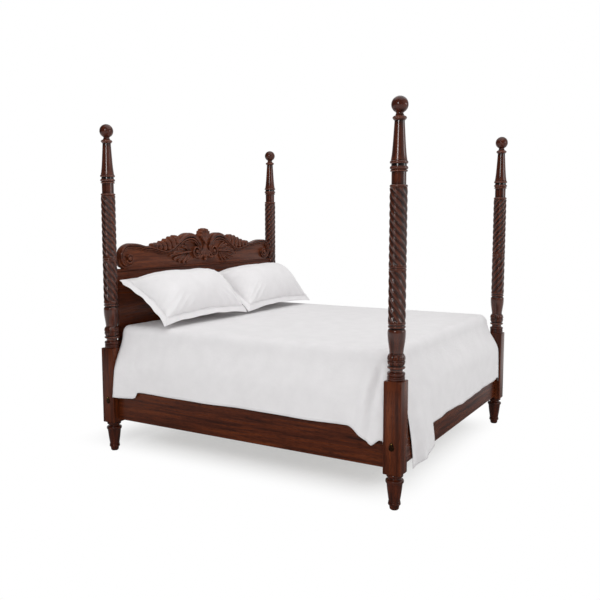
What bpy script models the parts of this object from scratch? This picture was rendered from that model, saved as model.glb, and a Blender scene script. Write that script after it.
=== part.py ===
"""Four-poster bed in mahogany: turned and rope-carved posts, scroll-crested
headboard, plain rails, slats, split box springs, mattress, coverlet and shams.

Metres, +Z up. The origin is on the floor at the middle of the bed's outline.
The headboard stands at +Y and the foot rail at -Y.
"""

import math

import bmesh
import bpy
from mathutils import Matrix, Vector

# ---------------------------------------------------------------- dimensions
GAP = 0.0003                  # what touching pieces leave between them
FIT = 0.0003                  # clearance all round a pin, tenon or tongue
OVERSHOOT = 0.005             # how far a cutter runs past the face it opens
OVERLAP = 0.002               # how far joined volumes run into each other

MATTRESS_WIDTH = 1.930        # the bed is made round its mattress
MATTRESS_LENGTH = 2.030
MATTRESS_SIDE_GAP = 0.003     # to the posts' inner faces
MATTRESS_HEAD_GAP = 0.012     # to the headboard
MATTRESS_FOOT_GAP = 0.046     # to the foot rail
BLOCK_SIDE = 0.104            # square part of the post
BLOCK_HEIGHT = 0.523
BLOCK_CHAMFER = 0.004
BEAD_SHOULDER = 0.28          # share of a ring's height taken by each rounding
TURNING_STEPS = 12            # facets round a turned piece, a multiple of four

GLIDE_RADIUS = 0.022
GLIDE_HEIGHT = 0.004

TOE_HEIGHT = 0.024            # turned foot, from the floor up
TOE_RADIUS = 0.026
TOE_RING_HEIGHT = 0.022
TOE_RING_RADIUS = 0.0355
FOOT_TAPER_HEIGHT = 0.104
FOOT_TAPER_LOW_RADIUS = 0.0315
FOOT_TAPER_TOP_RADIUS = 0.0450
FOOT_COLLAR_HEIGHT = 0.022
FOOT_COLLAR_RADIUS = 0.0515
FOOT_NECK_HEIGHT = 0.031
FOOT_NECK_RADIUS = 0.0360

COLLAR_COVE_HEIGHT = 0.008    # turned collar on top of the block
COLLAR_COVE_RADIUS = 0.0460
COLLAR_HEIGHT = 0.038
COLLAR_RADIUS = 0.0510
JOINT_NECK_HEIGHT = 0.007     # half of the neck where base and shaft meet
JOINT_NECK_RADIUS = 0.0375
TENON_RADIUS = 0.0180         # dowel of the shaft in the base
TENON_LENGTH = 0.060

LOW_RING_HEIGHT = 0.030       # shaft, from the joint up
LOW_RING_RADIUS = 0.0510
LOTUS_HEIGHT = 0.042          # band of carved leaves
LOTUS_RADIUS = 0.0510
VASE_NECK_HEIGHT = 0.042
VASE_NECK_RADIUS = 0.0385
VASE_HEIGHT = 0.112
VASE_RADIUS = 0.0500
VASE_HALF_SWELL = 0.35        # shares of its height where it is half and fully swollen
VASE_FULL_SWELL = 0.75
RING_HEIGHT = 0.013           # the small beads between the carved lengths
RING_RADIUS = 0.0482
RING_GROOVE_HEIGHT = 0.004
RING_GROOVE_RADIUS = 0.0440
ROPE_RADIUS = 0.0478
ROPE_LOW_LENGTH = 0.280
ROPE_HIGH_LENGTH = 0.416
CYLINDER_HEIGHT = 0.082       # plain length under the top rings
CYLINDER_RADIUS = 0.0395
TOP_RING_HEIGHT = 0.018
TOP_RING_RADIUS = 0.0492
SPIRE_HEIGHT = 0.206          # the long taper under the finial
SPIRE_LOW_RADIUS = 0.0415
SPIRE_TOP_RADIUS = 0.0275
SPIRE_COLLAR_HEIGHT = 0.028
SPIRE_COLLAR_RADIUS = 0.0380

FINIAL_NECK_HEIGHT = 0.014
FINIAL_NECK_RADIUS = 0.0210
BALL_RADIUS = 0.0455
BALL_RINGS = 9
SPIGOT_RADIUS = 0.0080
SPIGOT_LENGTH = 0.040

RAIL_THICKNESS = 0.032
RAIL_HEIGHT = 0.235
RAIL_BOTTOM = 0.228
SIDE_RAIL_INSET = 0.012       # side rail's middle, in from the post axis
RAIL_EDGE = 0.003

CLEAT_WIDTH = 0.028           # ledger screwed inside each side rail
CLEAT_HEIGHT = 0.045
CLEAT_RISE = 0.017            # above the rail's bottom edge
CLEAT_END_GAP = 0.060
SLAT_COUNT = 4
SLAT_WIDTH = 0.090
SLAT_THICKNESS = 0.020
SLAT_PITCH = 0.520
SLAT_END_GAP = 0.003
LEGGED_SLATS = (1, 2)         # which slats carry a centre leg
LEG_SIDE = 0.045

PLATE_WIDTH = 0.018           # steel bed-rail fasteners
PLATE_HEIGHT = 0.120
PLATE_THICKNESS = 0.003
HOOK_SLOT_WIDTH = 0.006
HOOK_SLOT_HEIGHT = 0.028
HOOK_SLOT_SPACING = 0.060
HOOK_THICKNESS = 0.004
HOOK_HEIGHT = 0.018
HOOK_REACH = 0.010
HOOK_LIP_HEIGHT = 0.005
HOOK_LIP_REACH = 0.004
MORTISE_DEPTH = 0.014

BOLT_Z = 0.360                # bed bolts run across the bed, through the posts
BOLT_RADIUS = 0.0040
BOLT_HEAD_RADIUS = 0.0085
BOLT_HEAD_HEIGHT = 0.006
BOLT_IN_RAIL = 0.070
COUNTERBORE_RADIUS = 0.0120
COUNTERBORE_DEPTH = 0.009
COVER_THICKNESS = 0.003
COVER_RADIUS = 0.0165
COVER_EAR_RADIUS = 0.0070
COVER_DROP = 0.024            # bolt axis below the cover's pin
COVER_PIN_RADIUS = 0.0018
COVER_PIN_LENGTH = 0.012
PIN_SIDES = 8
BOLT_TIP_ROOM = 0.002         # left in the rail past the bolt's tip

TOP_RAIL_HEIGHT = 0.140       # headboard
TOP_RAIL_TOP = 1.271
TOP_RAIL_NOSING = 0.009
NOSING_HEIGHT = 0.020
NOSING_EDGE = 0.006
TOP_TENON_THICKNESS = 0.012
TOP_TENON_HEIGHT = 0.100
TOP_TENON_LENGTH = 0.026
PANEL_THICKNESS = 0.016
PANEL_END_GAP = 0.012         # panel's edge to the post block
GROOVE_DEPTH = 0.010
CREST_THICKNESS = 0.036
CREST_END_GAP = 0.0205        # crest's end to the rope carving
CREST_TONGUE_WIDTH = 0.012
CREST_TONGUE_DEPTH = 0.009
SCROLL_EYE_INSET = 0.091      # end volute's eye, in from the crest's end
SCROLL_EYE_RISE = 0.069       # above the top rail
SCROLL_RADIUS = 0.084
SADDLE_X = 0.630              # low place of the crest between scroll and leaves
SADDLE_RISE = 0.150
GADROON_X = 0.389             # top of the leaves that lap over the scroll
GADROON_RISE = 0.219
GADROON_HEEL_X = 0.334
GADROON_HEEL_RISE = 0.193
ARCH_X = 0.190
ARCH_RISE = 0.245
ARCH_DIP = 0.020              # each side of the arch's top
SHELL_RISE = 0.281
SHELL_NOTCH_X = 0.075         # where the shell meets the arch
SHELL_SHOULDER_X = 0.058
SHELL_TIP_X = 0.028
BAND_WIDTH = 0.034            # moulded S-scroll on the crest's face
BAND_THICKNESS = 0.010
BAND_END_SHARE = 0.42         # its width at the volutes' eyes
BAND_EASE = 0.30              # share of its length over which it narrows
BAND_INSET = 0.016            # its middle below the crest's edge at the saddle
BAND_LOW_X = 0.475            # where it dips below the leaves
BAND_LOW_RISE = 0.084
INNER_EYE_X = 0.112
INNER_EYE_RISE = 0.096
INNER_RADIUS = 0.052
SHELL_THICKNESS = 0.016
SHELL_FAN = 0.122             # radius of the palmette's fan
SHELL_LOBES = 7
PENDANT_HALF_WIDTH = 0.046    # drop below the palmette
PENDANT_RISE = 0.022
LEAF_THICKNESS = 0.012        # acanthus spray beside each inner volute
LEAF_ROOT_GAP = 0.034
LEAF_ROOT_RISE = 0.068
LEAF_LENGTH = 0.170
LEAF_HEIGHT = 0.056
LEAF_LOBES = 6

BOX_SPRING_HEIGHT = 0.230
MATTRESS_HEIGHT = 0.330
BOX_SPRING_SPLIT = 0.006
BOX_SPRING_EDGE = 0.012
MATTRESS_CROWN = 0.012
MATTRESS_DRAW_IN = 0.010
MATTRESS_EDGE = 0.050         # rounding of its edges

COVERLET_THICKNESS = 0.010
COVERLET_LIFT = 0.003         # off the mattress
COVERLET_HEAD_MARGIN = 0.030  # short of the headboard
COVERLET_SIDE_HEM = 0.442     # heights of the hems
COVERLET_FOOT_HEM = 0.376
COVERLET_RAIL_CLEARANCE = 0.012
COVERLET_FOLD_DEPTH = 0.016
COVERLET_FOLD_SPACING = 0.68
COVERLET_POST_CLEARANCE = 0.015
COVERLET_FLARE = 0.170        # fall over which a strip swings out to its rail
COVERLET_SIDE_LOBE = 0.080    # how far the slit corners hang below the hems
COVERLET_FOOT_LOBES = {-1: 0.205, 1: -0.020}
COVERLET_LOBE_POWER = 3.0     # how late along the foot hem a lobe sets in
COVERLET_LOBE_LENGTH = 0.36   # along a side hem from the foot corner

PILLOW_WIDTH = 0.980
PILLOW_DEPTH = 0.500
PILLOW_CROWN = 0.245
PILLOW_UPPER_SHARE = 0.74     # share of the crown that stands above the seam
PILLOW_REAR_FULLNESS = 0.18   # how much fuller it is towards the headboard
PILLOW_FLANGE = 0.042
PILLOW_FLANGE_THICKNESS = 0.010
PILLOW_CORNER = 0.030         # how far the sides draw in between the corners
PILLOW_TILT = math.radians(35.0)
PILLOW_CLEARANCE = 0.012      # above the coverlet and off the panel
PILLOW_COLUMNS = 14
PILLOW_ROWS = 10

# ------------------------------------------------------------ derived places
HALF_BLOCK = BLOCK_SIDE / 2
POST_X = MATTRESS_WIDTH / 2 + MATTRESS_SIDE_GAP + HALF_BLOCK
POST_Y = (MATTRESS_LENGTH + MATTRESS_HEAD_GAP + MATTRESS_FOOT_GAP + RAIL_THICKNESS) / 2
FOOT_HEIGHT = (TOE_HEIGHT + TOE_RING_HEIGHT + FOOT_TAPER_HEIGHT
               + FOOT_COLLAR_HEIGHT + FOOT_NECK_HEIGHT)
BLOCK_BOTTOM = GLIDE_HEIGHT + FOOT_HEIGHT
BLOCK_TOP = BLOCK_BOTTOM + BLOCK_HEIGHT
BASE_TOP = BLOCK_TOP + COLLAR_COVE_HEIGHT + COLLAR_HEIGHT + JOINT_NECK_HEIGHT
RAIL_TOP = RAIL_BOTTOM + RAIL_HEIGHT
RAIL_MIDDLE = RAIL_BOTTOM + RAIL_HEIGHT / 2
SIDE_RAIL_X = POST_X - SIDE_RAIL_INSET
SLAT_BOTTOM = RAIL_BOTTOM + CLEAT_RISE + CLEAT_HEIGHT + GAP
SLAT_TOP = SLAT_BOTTOM + SLAT_THICKNESS
BOX_SPRING_BOTTOM = SLAT_TOP + GAP
MATTRESS_BOTTOM = BOX_SPRING_BOTTOM + BOX_SPRING_HEIGHT + GAP
MATTRESS_TOP = MATTRESS_BOTTOM + MATTRESS_HEIGHT
MATTRESS_HEAD_Y = POST_Y - RAIL_THICKNESS / 2 - MATTRESS_HEAD_GAP
MATTRESS_FOOT_Y = MATTRESS_HEAD_Y - MATTRESS_LENGTH
TOP_RAIL_BOTTOM = TOP_RAIL_TOP - TOP_RAIL_HEIGHT
CREST_HALF_WIDTH = POST_X - ROPE_RADIUS - CREST_END_GAP
CREST_BOTTOM = TOP_RAIL_TOP + GAP
CREST_FACE_Y = POST_Y - CREST_THICKNESS / 2
COVER_PIVOT_Z = BOLT_Z + COVER_DROP
COVERLET_SHOULDER = MATTRESS_EDGE + COVERLET_LIFT

SIDES = (("left", -1), ("right", 1))
ENDS = (("foot", -1), ("head", 1))


# ------------------------------------------------------------------ helpers
def clear_scene():
    for obj in list(bpy.data.objects):
        bpy.data.objects.remove(obj, do_unlink=True)


def make_collection(name):
    collection = bpy.data.collections.new(name)
    bpy.context.scene.collection.children.link(collection)
    return collection


def make_material(name, colour, roughness, metallic=0.0):
    material = bpy.data.materials.new(name)
    material.use_nodes = True
    shader = material.node_tree.nodes["Principled BSDF"]
    shader.inputs["Base Color"].default_value = (*colour, 1.0)
    shader.inputs["Roughness"].default_value = roughness
    shader.inputs["Metallic"].default_value = metallic
    material.diffuse_color = (*colour, 1.0)
    return material


def add_object(name, mesh, material=None):
    """Link a mesh into the bed, or among the cutters if it has no material."""
    obj = bpy.data.objects.new(name, mesh)
    if material is None:
        CUTTERS.objects.link(obj)
        obj.hide_render = True
        obj.display_type = "WIRE"
    else:
        BED.objects.link(obj)
        mesh.materials.append(material)
    return obj


def box(name, low, high, material=None, edge=0.0):
    """A box between two corners, with its edges rounded by `edge`."""
    low, high = Vector(low), Vector(high)
    mesh = bpy.data.meshes.new(name)
    bm = bmesh.new()
    bmesh.ops.create_cube(bm, size=1.0)
    bmesh.ops.scale(bm, vec=high - low, verts=bm.verts)
    bm.to_mesh(mesh)
    bm.free()
    obj = add_object(name, mesh, material)
    obj.location = (low + high) / 2
    if edge:
        bevel = obj.modifiers.new("edges", "BEVEL")
        bevel.width = edge
        bevel.segments = 1
    return obj


def turned(name, profile, place, material=None, steps=TURNING_STEPS):
    """Turn (radius, height) pairs, given from the top down, round +Z."""
    mesh = bpy.data.meshes.new(name)
    bm = bmesh.new()
    verts = [bm.verts.new((radius, 0.0, height)) for radius, height in profile]
    for upper, lower in zip(verts, verts[1:]):
        bm.edges.new((upper, lower))
    bm.to_mesh(mesh)
    bm.free()
    obj = add_object(name, mesh, material)
    obj.location = place
    screw = obj.modifiers.new("turning", "SCREW")
    screw.axis = "Z"
    screw.steps = steps
    screw.render_steps = steps
    screw.use_merge_vertices = True
    screw.merge_threshold = 0.0001
    return obj


def rod(name, start, end, radius, material=None, sides=12):
    """A cylinder from one point to another."""
    start, end = Vector(start), Vector(end)
    axis = end - start
    mesh = bpy.data.meshes.new(name)
    bm = bmesh.new()
    bmesh.ops.create_cone(bm, cap_ends=True, segments=sides, radius1=radius,
                          radius2=radius, depth=axis.length)
    turn = Vector((0, 0, 1)).rotation_difference(axis.normalized()).to_matrix()
    bmesh.ops.rotate(bm, matrix=turn, verts=bm.verts)
    bm.to_mesh(mesh)
    bm.free()
    obj = add_object(name, mesh, material)
    obj.location = (start + end) / 2
    return obj


def as_mesh(obj):
    """Replace an object by the mesh that its modifiers make of it."""
    bpy.context.view_layer.update()
    shape = obj.evaluated_get(bpy.context.evaluated_depsgraph_get())
    mesh = bpy.data.meshes.new_from_object(shape)
    bm = bmesh.new()
    bm.from_mesh(mesh)
    bmesh.ops.remove_doubles(bm, verts=bm.verts, dist=0.00001)
    bmesh.ops.recalc_face_normals(bm, faces=bm.faces)
    bm.to_mesh(mesh)
    bm.free()
    name, place = obj.name, obj.matrix_world.copy()
    home = obj.users_collection[0]
    bpy.data.objects.remove(obj, do_unlink=True)
    solid = bpy.data.objects.new(name, mesh)
    solid.matrix_world = place
    home.objects.link(solid)
    return solid


def plate(name, outline, thickness, middle_y, material):
    """A flat board in the XZ plane, cut to an outline of (x, z) points."""
    curve = bpy.data.curves.new(name, "CURVE")
    curve.dimensions = "2D"
    curve.fill_mode = "BOTH"
    curve.extrude = thickness / 2
    spline = curve.splines.new("POLY")
    spline.points.add(len(outline) - 1)
    for point, (x, z) in zip(spline.points, outline):
        point.co = (x, z, 0.0, 1.0)
    spline.use_cyclic_u = True
    curve.materials.append(material)
    obj = bpy.data.objects.new(name, curve)
    BED.objects.link(obj)
    obj.matrix_world = (Matrix.Translation((0.0, middle_y, 0.0))
                        @ Matrix.Rotation(math.pi / 2, 4, "X"))
    return as_mesh(obj)


def combine(obj, other, operation):
    """Add a Boolean with another object, which stays hidden among the cutters."""
    if other.name in BED.objects:
        BED.objects.unlink(other)
        CUTTERS.objects.link(other)
        other.hide_render = True
        other.display_type = "WIRE"
    boolean = obj.modifiers.new(other.name, "BOOLEAN")
    boolean.operation = operation
    boolean.solver = "EXACT"
    boolean.object = other


def cut(obj, cutter):
    combine(obj, cutter, "DIFFERENCE")


def join(obj, addition):
    combine(obj, addition, "UNION")


def smooth(obj, angle=40.0):
    mesh = obj.data
    mesh.shade_smooth()
    mesh.set_sharp_from_angle(angle=math.radians(angle))


class Profile:
    """Stacks turned elements upward and gives their outline from the top."""

    def __init__(self, base):
        self.height = base
        self.points = [(0.0, base)]

    def at(self, radius, rise=0.0):
        self.points.append((radius, self.height + rise))

    def straight(self, height, low, top=None):
        self.at(low)
        self.height += height
        self.at(low if top is None else top)

    def bead(self, height, radius, root):
        """A rounded ring that swells from `root` to `radius`."""
        self.at(root)
        self.at(radius, height * BEAD_SHOULDER)
        self.at(radius, height * (1 - BEAD_SHOULDER))
        self.height += height
        self.at(root)

    def close(self):
        outline = [self.points[0]]
        for point in self.points[1:]:
            if math.dist(point, outline[-1]) > 1e-6:
                outline.append(point)
        outline.append((0.0, self.height))
        return outline[::-1]


# -------------------------------------------------------------------- posts
def foot_profile():
    foot = Profile(GLIDE_HEIGHT + GAP)
    foot.straight(TOE_HEIGHT - GAP, TOE_RADIUS, FOOT_TAPER_LOW_RADIUS)
    foot.bead(TOE_RING_HEIGHT, TOE_RING_RADIUS, FOOT_TAPER_LOW_RADIUS)
    foot.straight(FOOT_TAPER_HEIGHT, FOOT_TAPER_LOW_RADIUS, FOOT_TAPER_TOP_RADIUS)
    foot.bead(FOOT_COLLAR_HEIGHT, FOOT_COLLAR_RADIUS, FOOT_TAPER_TOP_RADIUS)
    foot.straight(FOOT_NECK_HEIGHT / 2, FOOT_NECK_RADIUS)
    foot.straight(FOOT_NECK_HEIGHT / 2, FOOT_NECK_RADIUS, COLLAR_COVE_RADIUS)
    foot.straight(BLOCK_CHAMFER * 2, COLLAR_COVE_RADIUS)
    return foot.close()


def collar_profile():
    collar = Profile(BLOCK_TOP - BLOCK_CHAMFER * 2)
    collar.straight(BLOCK_CHAMFER * 2 + COLLAR_COVE_HEIGHT, COLLAR_COVE_RADIUS)
    collar.bead(COLLAR_HEIGHT, COLLAR_RADIUS, COLLAR_COVE_RADIUS)
    collar.straight(JOINT_NECK_HEIGHT, JOINT_NECK_RADIUS)
    return collar.close()


def shaft_profile():
    """The upper post with its dowel. Returns the outline and where things sit."""
    shaft = Profile(BASE_TOP - TENON_LENGTH)
    shaft.straight(TENON_LENGTH + GAP, TENON_RADIUS)
    shaft.straight(JOINT_NECK_HEIGHT, JOINT_NECK_RADIUS)
    shaft.bead(LOW_RING_HEIGHT, LOW_RING_RADIUS, JOINT_NECK_RADIUS)
    shaft.bead(LOTUS_HEIGHT, LOTUS_RADIUS, VASE_NECK_RADIUS)
    shaft.straight(VASE_NECK_HEIGHT, VASE_NECK_RADIUS)
    shaft.at((VASE_NECK_RADIUS + VASE_RADIUS) / 2, VASE_HEIGHT * VASE_HALF_SWELL)
    shaft.at(VASE_RADIUS, VASE_HEIGHT * VASE_FULL_SWELL)
    shaft.height += VASE_HEIGHT
    shaft.at(VASE_RADIUS)
    shaft.straight(RING_GROOVE_HEIGHT, RING_GROOVE_RADIUS)
    shaft.bead(RING_HEIGHT, RING_RADIUS, RING_GROOVE_RADIUS)
    shaft.straight(RING_GROOVE_HEIGHT, RING_GROOVE_RADIUS)
    shaft.bead(RING_HEIGHT, RING_RADIUS, RING_GROOVE_RADIUS)
    shaft.straight(ROPE_LOW_LENGTH, ROPE_RADIUS)
    shaft.bead(RING_HEIGHT, RING_RADIUS, RING_GROOVE_RADIUS)
    shaft.bead(RING_HEIGHT, RING_RADIUS, RING_GROOVE_RADIUS)
    shaft.straight(ROPE_HIGH_LENGTH, ROPE_RADIUS)
    shaft.bead(TOP_RING_HEIGHT, RING_RADIUS, CYLINDER_RADIUS)
    shaft.straight(CYLINDER_HEIGHT, CYLINDER_RADIUS)
    shaft.bead(TOP_RING_HEIGHT, TOP_RING_RADIUS, CYLINDER_RADIUS)
    shaft.straight(RING_GROOVE_HEIGHT * 2, RING_GROOVE_RADIUS)
    shaft.bead(TOP_RING_HEIGHT, TOP_RING_RADIUS, SPIRE_LOW_RADIUS)
    shaft.straight(SPIRE_HEIGHT, SPIRE_LOW_RADIUS, SPIRE_TOP_RADIUS)
    shaft.bead(SPIRE_COLLAR_HEIGHT, SPIRE_COLLAR_RADIUS, SPIRE_TOP_RADIUS)
    return shaft.close(), shaft.height


def finial_profile(bottom):
    """A ball on a short neck, with the spigot that drops into the shaft."""
    finial = Profile(bottom - SPIGOT_LENGTH)
    finial.straight(SPIGOT_LENGTH, SPIGOT_RADIUS)
    finial.straight(FINIAL_NECK_HEIGHT, FINIAL_NECK_RADIUS)
    start = math.asin(FINIAL_NECK_RADIUS / BALL_RADIUS)
    centre = finial.height + BALL_RADIUS * math.cos(start)
    for ring in range(1, BALL_RINGS):
        angle = start + (math.pi - start) * ring / BALL_RINGS
        finial.points.append((BALL_RADIUS * math.sin(angle),
                              centre - BALL_RADIUS * math.cos(angle)))
    finial.height = centre + BALL_RADIUS
    return finial.close()


def post(side, sx, end, sy):
    """One corner: base, shaft, finial and glide, with every bore they need."""
    corner = f"{side}_{end}"
    x, y = sx * POST_X, sy * POST_Y

    base = box(f"post_base_{corner}",
               (x - HALF_BLOCK, y - HALF_BLOCK, BLOCK_BOTTOM),
               (x + HALF_BLOCK, y + HALF_BLOCK, BLOCK_TOP), WOOD, BLOCK_CHAMFER)
    join(base, turned(f"foot_turning_{corner}", foot_profile(), (x, y, 0.0)))
    join(base, turned(f"collar_turning_{corner}", collar_profile(), (x, y, 0.0)))
    cut(base, rod(f"tenon_bore_{corner}",
                  (x, y, BASE_TOP - TENON_LENGTH - FIT), (x, y, BASE_TOP + OVERSHOOT),
                  TENON_RADIUS + FIT, sides=TURNING_STEPS))
    cut_rail_fastener(base, corner, sx, sy)
    cut_bolt_way(base, corner, sx, y)

    outline, shaft_top = shaft_profile()
    shaft = turned(f"post_shaft_{corner}", outline, (x, y, 0.0), WOOD)
    cut(shaft, rod(f"spigot_bore_{corner}",
                   (x, y, shaft_top - SPIGOT_LENGTH - FIT), (x, y, shaft_top + OVERSHOOT),
                   SPIGOT_RADIUS + FIT))
    if end == "head":
        mortise = box(f"top_rail_mortise_{corner}",
                      (x - sx * (ROPE_RADIUS + OVERSHOOT),
                       y - TOP_TENON_THICKNESS / 2 - FIT,
                       TOP_RAIL_BOTTOM + top_tenon_inset() - FIT),
                      (x - sx * (ROPE_RADIUS - TOP_TENON_LENGTH - FIT),
                       y + TOP_TENON_THICKNESS / 2 + FIT,
                       TOP_RAIL_BOTTOM + top_tenon_inset() + TOP_TENON_HEIGHT + FIT))
        fix_corners(mortise)
        cut(shaft, mortise)

    finial = turned(f"finial_{corner}", finial_profile(shaft_top + GAP),
                    (x, y, 0.0), WOOD)
    rod(f"glide_{corner}", (x, y, 0.0), (x, y, GLIDE_HEIGHT), GLIDE_RADIUS,
        PLASTIC, sides=TURNING_STEPS)
    for piece in (base, shaft, finial):
        smooth(piece)


def fix_corners(obj):
    """Turn a box's faces outward again when its corners were given swapped."""
    bm = bmesh.new()
    bm.from_mesh(obj.data)
    bmesh.ops.recalc_face_normals(bm, faces=bm.faces)
    bm.to_mesh(obj.data)
    bm.free()


def top_tenon_inset():
    """Height of the tenon's lower edge above the top rail's lower edge."""
    return (TOP_RAIL_HEIGHT - TOP_TENON_HEIGHT) / 2


# ---------------------------------------------------------- rail fasteners
def cut_rail_fastener(base, corner, sx, sy):
    """The pocket for the slotted plate, and the mortise behind it."""
    face_y = sy * (POST_Y - HALF_BLOCK)
    x = sx * SIDE_RAIL_X
    half_width = PLATE_WIDTH / 2 + FIT
    half_height = PLATE_HEIGHT / 2 + FIT
    pocket = box(f"plate_pocket_{corner}",
                 (x - half_width, face_y - sy * OVERSHOOT, RAIL_MIDDLE - half_height),
                 (x + half_width, face_y + sy * (PLATE_THICKNESS + GAP),
                  RAIL_MIDDLE + half_height))
    half_slot = HOOK_SLOT_WIDTH / 2
    reach = HOOK_SLOT_SPACING / 2 + HOOK_SLOT_HEIGHT / 2
    mortise = box(f"hook_mortise_{corner}",
                  (x - half_slot, face_y, RAIL_MIDDLE - reach),
                  (x + half_slot, face_y + sy * (PLATE_THICKNESS + MORTISE_DEPTH),
                   RAIL_MIDDLE + reach))
    for cutter in (pocket, mortise):
        fix_corners(cutter)
        cut(base, cutter)


def rail_fasteners(side, sx, end, sy):
    """The slotted plate in the post and the hooked plate in the rail's end."""
    corner = f"{side}_{end}"
    face_y = sy * (POST_Y - HALF_BLOCK)
    x = sx * SIDE_RAIL_X
    low_z, high_z = RAIL_MIDDLE - PLATE_HEIGHT / 2, RAIL_MIDDLE + PLATE_HEIGHT / 2

    post_plate = box(f"post_plate_{corner}",
                     (x - PLATE_WIDTH / 2, face_y, low_z),
                     (x + PLATE_WIDTH / 2, face_y + sy * PLATE_THICKNESS, high_z), STEEL)
    fix_corners(post_plate)
    rail_y = face_y - sy * GAP
    hook_plate = box(f"rail_hook_{corner}",
                     (x - PLATE_WIDTH / 2, rail_y, low_z),
                     (x + PLATE_WIDTH / 2, rail_y - sy * PLATE_THICKNESS, high_z), STEEL)
    fix_corners(hook_plate)
    for number, lift in enumerate((-0.5, 0.5)):
        z = RAIL_MIDDLE + lift * HOOK_SLOT_SPACING
        slot = box(f"hook_slot_{corner}_{number}",
                   (x - HOOK_SLOT_WIDTH / 2, face_y - sy * OVERSHOOT,
                    z - HOOK_SLOT_HEIGHT / 2),
                   (x + HOOK_SLOT_WIDTH / 2, face_y + sy * (PLATE_THICKNESS + OVERSHOOT),
                    z + HOOK_SLOT_HEIGHT / 2))
        fix_corners(slot)
        cut(post_plate, slot)
        hook_low = z + HOOK_SLOT_HEIGHT / 2 - FIT - HOOK_HEIGHT
        tongue = box(f"hook_tongue_{corner}_{number}",
                     (x - HOOK_THICKNESS / 2, rail_y - sy * OVERLAP, hook_low),
                     (x + HOOK_THICKNESS / 2, rail_y + sy * HOOK_REACH,
                      hook_low + HOOK_HEIGHT))
        lip = box(f"hook_lip_{corner}_{number}",
                  (x - HOOK_THICKNESS / 2, rail_y + sy * (HOOK_REACH - HOOK_LIP_REACH),
                   hook_low - HOOK_LIP_HEIGHT),
                  (x + HOOK_THICKNESS / 2, rail_y + sy * HOOK_REACH,
                   hook_low + OVERLAP))
        for piece in (tongue, lip):
            fix_corners(piece)
            join(hook_plate, piece)


# ---------------------------------------------------------------- bed bolts
def cut_bolt_way(base, corner, sx, y):
    """Counterbore, bore and the small hole for the cover's pin."""
    face_x = sx * (POST_X + HALF_BLOCK)
    cut(base, rod(f"counterbore_{corner}", (face_x + sx * OVERSHOOT, y, BOLT_Z),
                  (face_x - sx * COUNTERBORE_DEPTH, y, BOLT_Z), COUNTERBORE_RADIUS))
    cut(base, rod(f"bolt_bore_{corner}", (face_x - sx * OVERLAP, y, BOLT_Z),
                  (face_x - sx * (BLOCK_SIDE + OVERSHOOT), y, BOLT_Z), BOLT_RADIUS + FIT))
    cut(base, rod(f"cover_pin_hole_{corner}", (face_x + sx * OVERSHOOT, y, COVER_PIVOT_Z),
                  (face_x - sx * (COVER_PIN_LENGTH + FIT), y, COVER_PIVOT_Z),
                  COVER_PIN_RADIUS + FIT, sides=PIN_SIDES))


def bed_bolt(corner, sx, y):
    """A hexagon-headed bolt through the post into the cross rail."""
    seat_x = sx * (POST_X + HALF_BLOCK - COUNTERBORE_DEPTH + GAP)
    tip_x = sx * (POST_X - HALF_BLOCK - BOLT_IN_RAIL)
    bolt = rod(f"bed_bolt_{corner}", (seat_x, y, BOLT_Z),
               (seat_x + sx * BOLT_HEAD_HEIGHT, y, BOLT_Z), BOLT_HEAD_RADIUS, STEEL, sides=6)
    join(bolt, rod(f"bolt_shank_{corner}", (seat_x + sx * BOLT_HEAD_HEIGHT / 2, y, BOLT_Z),
                   (tip_x, y, BOLT_Z), BOLT_RADIUS))
    return bolt


def cover_outline(y):
    """Teardrop outline round the bolt's axis and the pin, as (y, z) points."""
    points = []
    lean = math.acos((COVER_RADIUS - COVER_EAR_RADIUS) / COVER_DROP)
    for centre_z, radius, start, stop, count in (
            (COVER_PIVOT_Z, COVER_EAR_RADIUS, lean, -lean, 7),
            (BOLT_Z, COVER_RADIUS, -lean, lean - 2 * math.pi, 15)):
        for step in range(count):
            angle = start + (stop - start) * step / (count - 1)
            points.append((y + radius * math.sin(angle), centre_z + radius * math.cos(angle)))
    return points


def bolt_cover(corner, sx, y):
    """A teardrop plate that hangs by its pin in front of the bolt's head."""
    face_x = sx * (POST_X + HALF_BLOCK + GAP)
    mesh = bpy.data.meshes.new(f"bolt_cover_{corner}")
    bm = bmesh.new()
    rim = [bm.verts.new((face_x, py, pz)) for py, pz in cover_outline(y)]
    face = bm.faces.new(rim)
    grown = bmesh.ops.extrude_face_region(bm, geom=[face])["geom"]
    moved = [item for item in grown if isinstance(item, bmesh.types.BMVert)]
    bmesh.ops.translate(bm, vec=(sx * COVER_THICKNESS, 0.0, 0.0), verts=moved)
    bmesh.ops.recalc_face_normals(bm, faces=bm.faces)
    pivot = Vector((face_x, y, COVER_PIVOT_Z))
    bmesh.ops.translate(bm, vec=-pivot, verts=bm.verts)
    bm.to_mesh(mesh)
    bm.free()
    cover = add_object(f"bolt_cover_{corner}", mesh, BRONZE)
    cover.location = pivot
    join(cover, rod(f"cover_pin_{corner}", pivot + Vector((sx * COVER_THICKNESS / 2, 0, 0)),
                    pivot - Vector((sx * COVER_PIN_LENGTH, 0, 0)), COVER_PIN_RADIUS, sides=PIN_SIDES))
    return cover


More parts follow.
